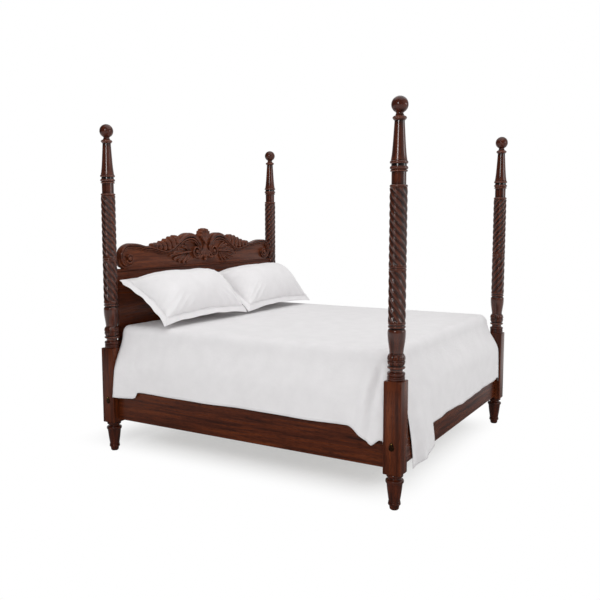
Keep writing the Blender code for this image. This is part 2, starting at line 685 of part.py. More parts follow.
# --------------------------------------------------------- rails and slats
def side_rail(side, sx):
    half_length = POST_Y - HALF_BLOCK - GAP
    x = sx * SIDE_RAIL_X
    rail = box(f"side_rail_{side}",
               (x - RAIL_THICKNESS / 2, -half_length, RAIL_BOTTOM),
               (x + RAIL_THICKNESS / 2, half_length, RAIL_TOP), WOOD, RAIL_EDGE)
    for end, sy in ENDS:
        pocket = box(f"hook_pocket_{side}_{end}",
                     (x - PLATE_WIDTH / 2 - FIT, sy * (half_length + OVERSHOOT),
                      RAIL_MIDDLE - PLATE_HEIGHT / 2 - FIT),
                     (x + PLATE_WIDTH / 2 + FIT, sy * (half_length - PLATE_THICKNESS - FIT),
                      RAIL_MIDDLE + PLATE_HEIGHT / 2 + FIT))
        fix_corners(pocket)
        cut(rail, pocket)
    inner_x = x - sx * (RAIL_THICKNESS / 2 + GAP)
    cleat_half = half_length - CLEAT_END_GAP
    cleat = box(f"slat_cleat_{side}",
                (inner_x, -cleat_half, RAIL_BOTTOM + CLEAT_RISE),
                (inner_x - sx * CLEAT_WIDTH, cleat_half, SLAT_BOTTOM - GAP), PLAIN_WOOD)
    fix_corners(cleat)


def cross_rail(name, y):
    """The foot rail or the headboard's bottom rail, bored for the bed bolts."""
    half_length = POST_X - HALF_BLOCK - GAP
    rail = box(name, (-half_length, y - RAIL_THICKNESS / 2, RAIL_BOTTOM),
               (half_length, y + RAIL_THICKNESS / 2, RAIL_TOP), WOOD, RAIL_EDGE)
    for side, sx in SIDES:
        cut(rail, rod(f"{name}_bore_{side}", (sx * (half_length + OVERSHOOT), y, BOLT_Z),
                      (sx * (half_length - BOLT_IN_RAIL - BOLT_TIP_ROOM), y, BOLT_Z),
                      BOLT_RADIUS + FIT))
    return rail


def slats():
    half_length = SIDE_RAIL_X - RAIL_THICKNESS / 2 - SLAT_END_GAP
    for number in range(SLAT_COUNT):
        y = (number - (SLAT_COUNT - 1) / 2) * SLAT_PITCH
        box(f"slat_{number + 1}", (-half_length, y - SLAT_WIDTH / 2, SLAT_BOTTOM),
            (half_length, y + SLAT_WIDTH / 2, SLAT_TOP), PLAIN_WOOD)
        if number in LEGGED_SLATS:
            box(f"slat_leg_{number + 1}", (-LEG_SIDE / 2, y - LEG_SIDE / 2, 0.0),
                (LEG_SIDE / 2, y + LEG_SIDE / 2, SLAT_BOTTOM - GAP), PLAIN_WOOD)


# --------------------------------------------------------------- headboard
def groove(name, half_length, z_low, z_high, width):
    return box(name, (-half_length, POST_Y - width / 2 - FIT, z_low),
               (half_length, POST_Y + width / 2 + FIT, z_high))


def headboard():
    panel_half = POST_X - HALF_BLOCK - PANEL_END_GAP
    bottom_rail = cross_rail("headboard_bottom_rail", POST_Y)
    cut(bottom_rail, groove("bottom_rail_groove", panel_half + FIT,
                            RAIL_TOP - GROOVE_DEPTH, RAIL_TOP + OVERSHOOT, PANEL_THICKNESS))
    box("headboard_panel",
        (-panel_half, POST_Y - PANEL_THICKNESS / 2, RAIL_TOP - GROOVE_DEPTH + GAP),
        (panel_half, POST_Y + PANEL_THICKNESS / 2, TOP_RAIL_BOTTOM + GROOVE_DEPTH - GAP), WOOD)

    top_rail = box("headboard_top_rail",
                   (-POST_X, POST_Y - RAIL_THICKNESS / 2, TOP_RAIL_BOTTOM),
                   (POST_X, POST_Y + RAIL_THICKNESS / 2, TOP_RAIL_TOP), WOOD, RAIL_EDGE)
    join(top_rail, box("top_rail_nosing",
                       (-POST_X, POST_Y - RAIL_THICKNESS / 2 - TOP_RAIL_NOSING,
                        TOP_RAIL_TOP - NOSING_HEIGHT),
                       (POST_X, POST_Y + RAIL_THICKNESS / 2 + TOP_RAIL_NOSING,
                        TOP_RAIL_TOP), edge=NOSING_EDGE))
    for side, sx in SIDES:
        cut(top_rail, rod(f"top_rail_cope_{side}", (sx * POST_X, POST_Y, TOP_RAIL_BOTTOM - OVERSHOOT),
                          (sx * POST_X, POST_Y, TOP_RAIL_TOP + OVERSHOOT),
                          ROPE_RADIUS + GAP, sides=TURNING_STEPS * 2))
        trim = box(f"top_rail_trim_{side}",
                   (sx * (POST_X - HALF_BLOCK / 2), POST_Y - HALF_BLOCK,
                    TOP_RAIL_BOTTOM - OVERSHOOT),
                   (sx * (POST_X + OVERSHOOT), POST_Y + HALF_BLOCK,
                    TOP_RAIL_TOP + OVERSHOOT))
        fix_corners(trim)
        cut(top_rail, trim)
        tenon_root = POST_X - ROPE_RADIUS - OVERSHOOT
        tenon = box(f"top_rail_tenon_{side}",
                    (sx * tenon_root, POST_Y - TOP_TENON_THICKNESS / 2,
                     TOP_RAIL_BOTTOM + top_tenon_inset()),
                    (sx * (POST_X - ROPE_RADIUS + TOP_TENON_LENGTH),
                     POST_Y + TOP_TENON_THICKNESS / 2,
                     TOP_RAIL_BOTTOM + top_tenon_inset() + TOP_TENON_HEIGHT))
        fix_corners(tenon)
        join(top_rail, tenon)
    cut(top_rail, groove("top_rail_panel_groove", panel_half + FIT,
                         TOP_RAIL_BOTTOM - OVERSHOOT, TOP_RAIL_BOTTOM + GROOVE_DEPTH,
                         PANEL_THICKNESS))
    cut(top_rail, groove("top_rail_crest_groove", crest_tongue_half() + FIT,
                         TOP_RAIL_TOP - CREST_TONGUE_DEPTH - FIT, TOP_RAIL_TOP + OVERSHOOT,
                         CREST_TONGUE_WIDTH))


def crest_tongue_half():
    return CREST_HALF_WIDTH - SCROLL_EYE_INSET


def smooth_path(points, per_span):
    """A Catmull-Rom curve through the points."""
    padded = [points[0], *points, points[-1]]
    path = []
    for a, b, c, d in zip(padded, padded[1:], padded[2:], padded[3:]):
        for step in range(per_span):
            t = step / per_span
            path.append(tuple(
                0.5 * (2 * b[i] + (c[i] - a[i]) * t
                       + (2 * a[i] - 5 * b[i] + 4 * c[i] - d[i]) * t * t
                       + (3 * b[i] - a[i] - 3 * c[i] + d[i]) * t ** 3)
                for i in range(2)))
    path.append(points[-1])
    return path


def scroll_eye():
    return (CREST_HALF_WIDTH - SCROLL_EYE_INSET, CREST_BOTTOM + SCROLL_EYE_RISE)


def crest_outline():
    """The whole board, from the right half: end scroll, saddle, leaf, arch, shell."""
    base = CREST_BOTTOM
    eye = scroll_eye()
    reach = SCROLL_EYE_INSET
    top = base + SCROLL_EYE_RISE + SCROLL_RADIUS + BAND_WIDTH / 2
    half = [(eye[0] + reach * 0.45, base),
            (CREST_HALF_WIDTH - reach * 0.10, eye[1] - reach * 0.38),
            (CREST_HALF_WIDTH, eye[1] + reach * 0.10),
            (CREST_HALF_WIDTH - reach * 0.20, eye[1] + reach * 0.72),
            (eye[0] + reach * 0.15, top)]
    half += smooth_path(
        [(eye[0] - reach * 0.30, top),
         (SADDLE_X + reach, base + SADDLE_RISE + ARCH_DIP / 2),
         (SADDLE_X, base + SADDLE_RISE),
         (SADDLE_X - reach, base + (SADDLE_RISE + GADROON_RISE) / 2),
         (GADROON_X, base + GADROON_RISE),
         (GADROON_HEEL_X, base + GADROON_HEEL_RISE),
         ((GADROON_HEEL_X + ARCH_X) / 2, base + ARCH_RISE - ARCH_DIP),
         (ARCH_X, base + ARCH_RISE),
         ((ARCH_X + SHELL_NOTCH_X) / 2, base + ARCH_RISE - ARCH_DIP)], 3)
    half += [(SHELL_NOTCH_X, base + ARCH_RISE - ARCH_DIP / 2),
             (SHELL_SHOULDER_X, base + SHELL_RISE - ARCH_DIP),
             (SHELL_TIP_X, base + SHELL_RISE)]
    return half + [(-x, z) for x, z in reversed(half)]


def spiral(eye, start, turn, first, last, steps):
    """Points round an eye, from one radius to another; angles in degrees."""
    points = []
    for step in range(steps + 1):
        angle = math.radians(start + turn * step / steps)
        radius = first + (last - first) * step / steps
        points.append((eye[0] + radius * math.cos(angle),
                       eye[1] + radius * math.sin(angle)))
    return points


def band_path():
    """The middle of the moulded S-scroll on the right, volute to volute."""
    base = CREST_BOTTOM
    inner = (INNER_EYE_X, base + INNER_EYE_RISE)
    end_volute = spiral(scroll_eye(), -200.0, 290.0, BAND_WIDTH * 0.62, SCROLL_RADIUS, 13)
    inner_volute = spiral(inner, 150.0, 330.0, INNER_RADIUS, BAND_WIDTH * 0.34, 12)
    sweep = smooth_path(
        [end_volute[-1],
         (SADDLE_X + SCROLL_RADIUS, base + SADDLE_RISE - BAND_INSET),
         (SADDLE_X - BAND_WIDTH, base + (SADDLE_RISE + BAND_LOW_RISE) / 2 - BAND_INSET),
         (BAND_LOW_X, base + BAND_LOW_RISE),
         ((GADROON_HEEL_X + ARCH_X) / 2 + BAND_WIDTH, base + ARCH_RISE - BAND_WIDTH * 3),
         (ARCH_X + INNER_RADIUS, base + ARCH_RISE - BAND_WIDTH - ARCH_DIP / 2),
         (ARCH_X - ARCH_DIP, base + ARCH_RISE - ARCH_DIP),
         (inner[0] - BAND_WIDTH, inner[1] + INNER_RADIUS)], 3)
    return end_volute[:-1] + sweep[:-1] + inner_volute


def ribbon(path, width_at):
    """The outline of a band of changing width laid along a path."""
    left, right = [], []
    last = len(path) - 1
    for number, point in enumerate(path):
        before = path[max(number - 1, 0)]
        after = path[min(number + 1, last)]
        along = Vector((after[0] - before[0], after[1] - before[1])).normalized()
        half = width_at(number / last) / 2
        left.append((point[0] - along.y * half, point[1] + along.x * half))
        right.append((point[0] + along.y * half, point[1] - along.x * half))
    return left + right[::-1]


def band_width(share):
    """Full in the middle and drawn down to the volutes' eyes."""
    ease = min(1.0, min(share, 1.0 - share) / BAND_EASE)
    return BAND_WIDTH * (BAND_END_SHARE + (1 - BAND_END_SHARE) * ease)


def lobed(centre, radii, start, stop, lobes, notch=0.72):
    """A fan of rounded lobes between two angles, as carved leaves are cut."""
    points = []
    steps = lobes * 4
    for step in range(steps + 1):
        share = step / steps
        angle = math.radians(start + (stop - start) * share)
        swell = notch + (1 - notch) * abs(math.sin(math.pi * lobes * share)) ** 0.7
        points.append((centre[0] + radii[0] * swell * math.cos(angle),
                       centre[1] + radii[1] * swell * math.sin(angle)))
    return points


def crest():
    base = CREST_BOTTOM
    board = plate("crest_board", crest_outline(), CREST_THICKNESS, POST_Y, WOOD)
    join(board, box("crest_tongue",
                    (-crest_tongue_half(), POST_Y - CREST_TONGUE_WIDTH / 2,
                     TOP_RAIL_TOP - CREST_TONGUE_DEPTH),
                    (crest_tongue_half(), POST_Y + CREST_TONGUE_WIDTH / 2, base + OVERLAP)))

    band = ribbon(band_path(), band_width)
    band_y = CREST_FACE_Y - GAP - BAND_THICKNESS / 2
    leaf_y = CREST_FACE_Y - GAP - LEAF_THICKNESS / 2
    leaf_root = (INNER_EYE_X + INNER_RADIUS + LEAF_ROOT_GAP, base + LEAF_ROOT_RISE)
    leaf = lobed(leaf_root, (LEAF_LENGTH, LEAF_HEIGHT), -100.0, 62.0, LEAF_LOBES) + [leaf_root]
    for side, sx in SIDES:
        plate(f"crest_scroll_{side}", [(sx * x, z) for x, z in band][::sx],
              BAND_THICKNESS, band_y, WOOD)
        plate(f"crest_leaf_{side}", [(sx * x, z) for x, z in leaf][::sx],
              LEAF_THICKNESS, leaf_y, WOOD)
    shell_root = (0.0, base + SHELL_RISE - SHELL_FAN)
    shell = lobed(shell_root, (SHELL_FAN, SHELL_FAN), 38.0, 142.0, SHELL_LOBES, 0.9)
    pendant = [(PENDANT_HALF_WIDTH * 0.6, shell_root[1] - PENDANT_RISE / 2),
               (PENDANT_HALF_WIDTH * 0.8, base + INNER_EYE_RISE - PENDANT_RISE),
               (PENDANT_HALF_WIDTH, base + PENDANT_RISE * 2),
               (PENDANT_HALF_WIDTH / 2, base + PENDANT_RISE)]
    shell += [(-x, z) for x, z in pendant] + pendant[::-1]
    plate("crest_shell", shell, SHELL_THICKNESS,
          CREST_FACE_Y - GAP - SHELL_THICKNESS / 2, WOOD)


# ------------------------------------------------------------- soft pieces
def cushion(name, low, high, crown, draw_in, edge, material):
    """A stuffed block: crowned top, sides drawn in between its corners."""
    low, high = Vector(low), Vector(high)
    size = high - low
    mesh = bpy.data.meshes.new(name)
    bm = bmesh.new()
    bmesh.ops.create_cube(bm, size=1.0)
    bmesh.ops.subdivide_edges(bm, edges=bm.edges, cuts=5, use_grid_fill=True)
    for vert in bm.verts:
        u, v, w = vert.co.x * 2, vert.co.y * 2, vert.co.z
        vert.co.z = w + (crown / size.z) * (1 - u * u) * (1 - v * v) * (1 if w > 0 else 0) \
            - (crown / size.z) * (0.5 + w)
        if abs(w) < 0.49:
            vert.co.x *= 1 - draw_in / size.x * (1 - v * v)
            vert.co.y *= 1 - draw_in / size.y * (1 - u * u)
    bmesh.ops.scale(bm, vec=size, verts=bm.verts)
    bm.to_mesh(mesh)
    bm.free()
    obj = add_object(name, mesh, material)
    obj.location = (low + high) / 2
    bevel = obj.modifiers.new("rounding", "BEVEL")
    bevel.width = edge
    bevel.segments = 3
    bevel.limit_method = "ANGLE"
    bevel.angle_limit = math.radians(45.0)
    smooth(obj, 60.0)
    return obj


def bedding():
    half_width = MATTRESS_WIDTH / 2
    for side, sx in SIDES:
        inner = sx * BOX_SPRING_SPLIT / 2
        outer = sx * half_width
        box(f"box_spring_{side}",
            (min(inner, outer), MATTRESS_FOOT_Y, BOX_SPRING_BOTTOM),
            (max(inner, outer), MATTRESS_HEAD_Y, MATTRESS_BOTTOM - GAP), TICKING, BOX_SPRING_EDGE)
    cushion("mattress", (-half_width, MATTRESS_FOOT_Y, MATTRESS_BOTTOM),
            (half_width, MATTRESS_HEAD_Y, MATTRESS_TOP), MATTRESS_CROWN,
            MATTRESS_DRAW_IN, MATTRESS_EDGE, TICKING)


def hang(distance, spread):
    """Past the top's flat part: how far outward and how far down a strip is."""
    turn = min(distance / COVERLET_SHOULDER, math.pi / 2)
    fall = max(0.0, distance - COVERLET_SHOULDER * math.pi / 2)
    outward = COVERLET_SHOULDER * math.sin(turn) + spread * min(1.0, fall / COVERLET_FLARE)
    return outward, COVERLET_SHOULDER * (1 - math.cos(turn)) + fall


def strip_steps(drop):
    """Distances down a hanging strip: three round the shoulder, then the fall."""
    quarter = COVERLET_SHOULDER * math.pi / 2
    turn = [quarter * k / 3 for k in (1, 2, 3)]
    return turn + [quarter + (drop - quarter) * share for share in (0.33, 0.66, 1.0)]


def fold(place, depth):
    """How far a soft fold stands out, at a place along the strip."""
    wave = math.sin(2 * math.pi * place / COVERLET_FOLD_SPACING)
    return COVERLET_FOLD_DEPTH * depth * (1 + wave) / 2


def coverlet_point(side, u, end, v):
    """A point of the sheet; u and v run down a strip where side or end is set."""
    top = MATTRESS_TOP + COVERLET_LIFT
    half_top = MATTRESS_WIDTH / 2 + COVERLET_LIFT - COVERLET_SHOULDER
    foot_top = MATTRESS_FOOT_Y - COVERLET_LIFT + COVERLET_SHOULDER
    quarter = COVERLET_SHOULDER * math.pi / 2
    side_drop, foot_drop = coverlet_drops()
    side_spread = (SIDE_RAIL_X + RAIL_THICKNESS / 2 + COVERLET_RAIL_CLEARANCE
                   - half_top - COVERLET_SHOULDER)
    foot_spread = (POST_Y + RAIL_THICKNESS / 2 + COVERLET_RAIL_CLEARANCE
                   + foot_top - COVERLET_SHOULDER)
    side_depth = max(0.0, (u - quarter) / (side_drop - quarter)) if side else 0.0
    foot_depth = max(0.0, (v - quarter) / (foot_drop - quarter)) if end else 0.0
    x, y, z = u, v, top
    if side:
        outward, fall = hang(u, side_spread)
        x = side * (half_top + outward)
        z -= fall
    if end:
        outward, fall = hang(v, foot_spread)
        y = foot_top - outward
        z -= fall
    if side and end:
        nearest = POST_Y - HALF_BLOCK - COVERLET_POST_CLEARANCE
        widest = POST_X - HALF_BLOCK - COVERLET_POST_CLEARANCE
        if not foot_depth and y < -nearest:
            y += (-nearest - y) * min(1.0, u / quarter)
        if not side_depth and abs(x) > widest:
            x += (side * widest - x) * min(1.0, v / quarter)
    if side_depth:
        near_foot = max(0.0, 1.0 - (y - foot_top + COVERLET_SHOULDER) / COVERLET_LOBE_LENGTH)
        z -= COVERLET_SIDE_LOBE * side_depth * near_foot ** 2
        x += side * fold(y, side_depth)
    if foot_depth:
        lobe = COVERLET_FOOT_LOBES[-1 if x < 0 else 1]
        z -= lobe * foot_depth * abs(x / half_top) ** COVERLET_LOBE_POWER
        y -= fold(x, foot_depth)
    return x, y, z


def coverlet_drops():
    """Lengths of the side and foot strips, from the flat top to the hems."""
    round_and_down = (COVERLET_SHOULDER * (math.pi / 2 - 1)
                      + MATTRESS_TOP + COVERLET_LIFT)
    return round_and_down - COVERLET_SIDE_HEM, round_and_down - COVERLET_FOOT_HEM


def coverlet():
    """One sheet over the top, both sides and the foot, slit at the foot corners."""
    half_top = MATTRESS_WIDTH / 2 + COVERLET_LIFT - COVERLET_SHOULDER
    foot_top = MATTRESS_FOOT_Y - COVERLET_LIFT + COVERLET_SHOULDER
    head = MATTRESS_HEAD_Y - COVERLET_HEAD_MARGIN
    side_drop, foot_drop = coverlet_drops()
    across = strip_steps(side_drop)
    turned_round = len(across) // 2
    columns = [(-1, d) for d in across[::-1]]
    columns += [(0, half_top * (k / 4 - 1)) for k in range(9)]
    columns += [(1, d) for d in across]
    rows = [(-1, d) for d in strip_steps(foot_drop)[::-1]]
    rows += [(0, foot_top + (head - foot_top) * k / 15) for k in range(16)]

    mesh = bpy.data.meshes.new("coverlet")
    bm = bmesh.new()
    grid = {}
    for i, (side, u) in enumerate(columns):
        hanging_side = side and u > across[turned_round - 1]
        for j, (end, v) in enumerate(rows):
            hanging_end = j < turned_round
            if not (hanging_side and hanging_end):
                grid[i, j] = bm.verts.new(coverlet_point(side, u, end, v))
    for i in range(len(columns) - 1):
        for j in range(len(rows) - 1):
            corners = ((i, j), (i + 1, j), (i + 1, j + 1), (i, j + 1))
            if all(corner in grid for corner in corners):
                bm.faces.new([grid[corner] for corner in corners])
    bm.to_mesh(mesh)
    bm.free()
    obj = add_object("coverlet", mesh, LINEN)
    solid = obj.modifiers.new("thickness", "SOLIDIFY")
    solid.thickness = COVERLET_THICKNESS
    solid.offset = 1.0
    smooth(obj, 60.0)
    return obj


def pillow(side, sx):
    """A flanged sham leaning on the headboard, its sides drawn in."""
    columns, rows = PILLOW_COLUMNS, PILLOW_ROWS
    half_w, half_d = PILLOW_WIDTH / 2, PILLOW_DEPTH / 2
    mesh = bpy.data.meshes.new(f"pillow_{side}")
    bm = bmesh.new()
    layers = []
    for face in (1, -1):
        grid = {}
        for i in range(columns + 1):
            for j in range(rows + 1):
                u, v = 2 * i / columns - 1, 2 * j / rows - 1
                rim = i in (0, columns) or j in (0, rows)
                x = u * (half_w - PILLOW_CORNER * (1 - v * v))
                y = v * (half_d - PILLOW_CORNER * (1 - u * u))
                inner_u = min(1.0, abs(x) / (half_w - PILLOW_FLANGE))
                inner_v = min(1.0, abs(y) / (half_d - PILLOW_FLANGE))
                swell = ((1 - inner_u ** 4) * (1 - inner_v ** 2)) ** 0.55
                swell *= 1 + PILLOW_REAR_FULLNESS * v
                share = PILLOW_UPPER_SHARE if face > 0 else 1 - PILLOW_UPPER_SHARE
                z = face * (PILLOW_FLANGE_THICKNESS / 2
                            + (PILLOW_CROWN - PILLOW_FLANGE_THICKNESS) * share * swell)
                if rim and face < 0:
                    z = -PILLOW_FLANGE_THICKNESS / 2
                grid[i, j] = bm.verts.new((x, y, z))
        for i in range(columns):
            for j in range(rows):
                ring = [grid[i, j], grid[i + 1, j], grid[i + 1, j + 1], grid[i, j + 1]]
                bm.faces.new(ring if face > 0 else ring[::-1])
        layers.append(grid)
    border = [(i, 0) for i in range(columns)] + [(columns, j) for j in range(rows)]
    border += [(i, rows) for i in range(columns, 0, -1)] + [(0, j) for j in range(rows, 0, -1)]
    upper, lower = layers
    for here, there in zip(border, border[1:] + border[:1]):
        bm.faces.new((upper[there], upper[here], lower[here], lower[there]))
    bm.to_mesh(mesh)
    bm.free()
    obj = add_object(f"pillow_{side}", mesh, LINEN)
    lean = Matrix.Rotation(PILLOW_TILT, 4, "X")
    bpy.context.view_layer.update()
    heights = [(lean @ vert.co).z for vert in mesh.vertices]
    depths = [(lean @ vert.co).y for vert in mesh.vertices]
    rest_z = MATTRESS_TOP + COVERLET_LIFT + COVERLET_THICKNESS + PILLOW_CLEARANCE
    rest_y = POST_Y - RAIL_THICKNESS / 2 - TOP_RAIL_NOSING - PILLOW_CLEARANCE
    place = Vector((sx * (half_w + PILLOW_CLEARANCE / 2),
                    rest_y - max(depths), rest_z - min(heights)))
    obj.matrix_world = Matrix.Translation(place) @ lean
    smooth(obj, 60.0)
    return obj


# -------------------------------------------------------------------- build
clear_scene()
BED = make_collection("four_poster_bed")
CUTTERS = make_collection("cutters")
WOOD = make_material("mahogany", (0.060, 0.018, 0.010), 0.32)
PLAIN_WOOD = make_material("poplar", (0.420, 0.270, 0.140), 0.65)
STEEL = make_material("zinc_plated_steel", (0.560, 0.560, 0.540), 0.35, 1.0)
BRONZE = make_material("dark_bronze", (0.080, 0.050, 0.030), 0.40, 1.0)
PLASTIC = make_material("nylon", (0.050, 0.040, 0.035), 0.50)
TICKING = make_material("ticking", (0.720, 0.720, 0.700), 0.90)
LINEN = make_material("white_cotton", (0.800, 0.800, 0.810), 0.90)

for side_name, side_sign in SIDES:
    for end_name, end_sign in ENDS:
        corner_name = f"{side_name}_{end_name}"
        post(side_name, side_sign, end_name, end_sign)
        rail_fasteners(side_name, side_sign, end_name, end_sign)
        bed_bolt(corner_name, side_sign, end_sign * POST_Y)
        bolt_cover(corner_name, side_sign, end_sign * POST_Y)
    side_rail(side_name, side_sign)
    pillow(side_name, side_sign)
cross_rail("foot_rail", -POST_Y)
headboard()
crest()
slats()
bedding()
coverlet()
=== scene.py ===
import math

import bmesh
import bpy
from mathutils import Matrix, Vector, noise


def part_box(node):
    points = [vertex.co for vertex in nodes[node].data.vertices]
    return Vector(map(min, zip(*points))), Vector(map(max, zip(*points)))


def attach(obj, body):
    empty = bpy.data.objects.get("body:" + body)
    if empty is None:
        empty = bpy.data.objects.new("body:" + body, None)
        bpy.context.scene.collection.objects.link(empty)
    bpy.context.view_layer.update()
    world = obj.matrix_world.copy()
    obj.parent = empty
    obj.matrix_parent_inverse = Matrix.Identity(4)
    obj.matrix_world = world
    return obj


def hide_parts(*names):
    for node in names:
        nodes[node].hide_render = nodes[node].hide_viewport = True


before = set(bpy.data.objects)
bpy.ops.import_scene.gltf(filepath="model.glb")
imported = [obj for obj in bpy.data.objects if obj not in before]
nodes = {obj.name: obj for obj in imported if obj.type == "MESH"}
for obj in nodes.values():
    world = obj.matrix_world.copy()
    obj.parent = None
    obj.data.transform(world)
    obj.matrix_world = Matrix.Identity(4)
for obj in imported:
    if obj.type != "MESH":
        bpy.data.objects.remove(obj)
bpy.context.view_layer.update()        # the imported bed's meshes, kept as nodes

scene = bpy.context.scene
sides = (("left", -1), ("right", 1))
corners = [(f"{side}_{end}", hand) for side, hand in sides for end in ("foot", "head")]
seatGap = 0.0003        # turnings that stand on each other stay this far apart
weld = 0.00002        # points closer than this are one
print("frame loaded:", len(nodes), "nodes")


def toLinear(hexColour):
    # sRGB hex to the linear colour that shaders take
    channels = [int(hexColour[i:i + 2], 16) / 255 for i in (1, 3, 5)]
    linear = [c / 12.92 if c <= 0.04045 else ((c + 0.055) / 1.055) ** 2.4 for c in channels]
    return (*linear, 1.0)


def addNode(tree, kind, values=None, links=None, stops=(), **settings):
    # a link starts at a socket, or at a node's first output
    node = tree.nodes.new("ShaderNode" + kind)
    for name, value in settings.items():
        setattr(node, name, value)
    for index, (place, colour) in enumerate(stops):        # a ramp's stops
        ramp = node.color_ramp.elements
        stop = ramp[index] if index < 2 else ramp.new(place)
        stop.position, stop.color = place, toLinear(colour)
    for socket, value in (values or {}).items():
        node.inputs[socket].default_value = value
    for socket, source in (links or {}).items():
        source = source if isinstance(source, bpy.types.NodeSocket) else source.outputs[0]
        tree.links.new(source, node.inputs[socket])
    return node


def newMaterial(name):
    # a material with an empty tree, and the coordinates that its patterns read
    material = bpy.data.materials.new(name)
    material.use_nodes = True
    tree = material.node_tree
    tree.nodes.clear()
    return material, tree, addNode(tree, "TexCoord").outputs["Object"]


def finishSurface(material, values, links):
    tree = material.node_tree
    addNode(tree, "OutputMaterial", None,
            {"Surface": addNode(tree, "BsdfPrincipled", values, links)})
    return material


def mottled(tree, place, sizeMm, detail, stops):
    # a cloudy colour with blotches of a real size; gives the colour and the cloud it comes from
    cloud = addNode(tree, "TexNoise", {"Scale": 1000 / sizeMm, "Detail": detail}, {"Vector": place})
    return addNode(tree, "ValToRGB", None, {"Fac": cloud}, stops), cloud


def alongGrain(grain, share):
    # a Mapping scale that draws a pattern out along the grain
    return [share if axis == grain else 1.0 for axis in "XYZ"]


def addObject(name, data):
    # data is a bmesh, a mesh, a lamp or a camera
    if isinstance(data, bmesh.types.BMesh):
        bm, data = data, bpy.data.meshes.new(name)
        bm.to_mesh(data)
        bm.free()
    made = bpy.data.objects.new(name, data)
    scene.collection.objects.link(made)
    return made


def addPiece(name, shape, material, body, stands, sharp):
    # a finished piece that rides on a body and stands for CAD nodes
    piece = addObject(name, shape)
    mesh = piece.data
    mesh.materials.clear()
    mesh.materials.append(material)
    mesh.shade_smooth()
    mesh.set_sharp_from_angle(angle=math.radians(sharp))
    if stands:
        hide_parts(*stands)
    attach(piece, body)
    return piece


def patch(bm, columns, rows, place, keep=None):
    # a grid whose points are laid by place(u, v), both from 0 to 1
    points = bmesh.ops.create_grid(bm, x_segments=columns, y_segments=rows, size=0.5)["verts"]
    if keep:
        middles = [(face, face.calc_center_median()) for face in bm.faces]
        spare = [face for face, at in middles if not keep(at.x + 0.5, at.y + 0.5)]
        bmesh.ops.delete(bm, geom=spare, context="FACES")
        points = bm.verts
    for vert in points:
        vert.co = place(vert.co.x + 0.5, vert.co.y + 0.5)


def faceOut(bm):
    bmesh.ops.recalc_face_normals(bm, faces=bm.faces)


def closeUp(bm):
    bmesh.ops.remove_doubles(bm, verts=bm.verts, dist=weld)
    bmesh.ops.dissolve_degenerate(bm, dist=weld / 2, edges=bm.edges)
    faceOut(bm)


def roundEdges(bm, edges, width):
    bmesh.ops.bevel(bm, geom=edges, offset=width, segments=3, profile=0.5, affect="EDGES",
                    material=-1)


def slab(bm, rim, move):
    # a flat outline pushed out into a board; gives the points of its far face
    grown = bmesh.ops.extrude_face_region(bm, geom=[bm.faces.new(rim)])["geom"]
    far = [item for item in grown if isinstance(item, bmesh.types.BMVert)]
    bmesh.ops.translate(bm, verts=far, vec=move)
    return far


def rodAlongX(radius, length, segments, centre):
    bm = bmesh.new()
    bmesh.ops.create_cone(bm, cap_ends=True, segments=segments, radius1=radius, radius2=radius,
                          depth=length)
    bmesh.ops.rotate(bm, verts=bm.verts, matrix=Matrix.Rotation(math.pi / 2, 3, "Y"))
    bmesh.ops.translate(bm, verts=bm.verts, vec=centre)
    return bm


def flatBall(bm, radius, rings, squash, centre):
    ball = bmesh.ops.create_uvsphere(bm, u_segments=20, v_segments=rings, radius=radius)["verts"]
    bmesh.ops.scale(bm, verts=ball, vec=squash)
    bmesh.ops.translate(bm, verts=ball, vec=centre)


def turnRound(bm, outline, steps):
    # spins (radius, height) pairs round Z into a closed solid
    verts = [bm.verts.new((radius, 0.0, height)) for radius, height in outline]
    edges = [bm.edges.new(pair) for pair in zip(verts, verts[1:])]
    bmesh.ops.spin(bm, geom=verts + edges, cent=(0, 0, 0), axis=(0, 0, 1),
                   angle=2 * math.pi, steps=steps, use_merge=True)
    closeUp(bm)


def beadPoints(low, high, root, radius, count=8):
    # a half-round ring between two heights
    points = []
    for step in range(count + 1):
        angle = math.pi * step / count
        points.append((root + (radius - root) * math.sin(angle) ** 0.7,
                       low + (high - low) * (1 - math.cos(angle)) / 2))
    return points


def taperPoints(low, high, first, last, count, swell=0.0):
    # a straight taper between two heights, or a slightly swelling one
    points = []
    for step in range(count + 1):
        share = step / count
        points.append((first + (last - first) * share + swell * math.sin(math.pi * share),
                       low + (high - low) * share))
    return points


def easeIn(value, low, high):
    share = min(1.0, max(0.0, (value - low) / (high - low)))
    return share * share * (3 - 2 * share)


def smoothPath(points, perSpan):
    # a Catmull-Rom curve through the points, whose further figures are blended as well
    padded = [points[0], *points, points[-1]]
    path = []
    for a, b, c, d in zip(padded, padded[1:], padded[2:], padded[3:]):
        for step in range(perSpan):
            t = step / perSpan
            path.append(tuple(0.5 * (2 * b[i] + (c[i] - a[i]) * t
                                     + (2 * a[i] - 5 * b[i] + 4 * c[i] - d[i]) * t * t
                                     + (3 * b[i] - a[i] - 3 * c[i] + d[i]) * t ** 3)
                              for i in range(len(b))))
    path.append(tuple(points[-1]))
    return path


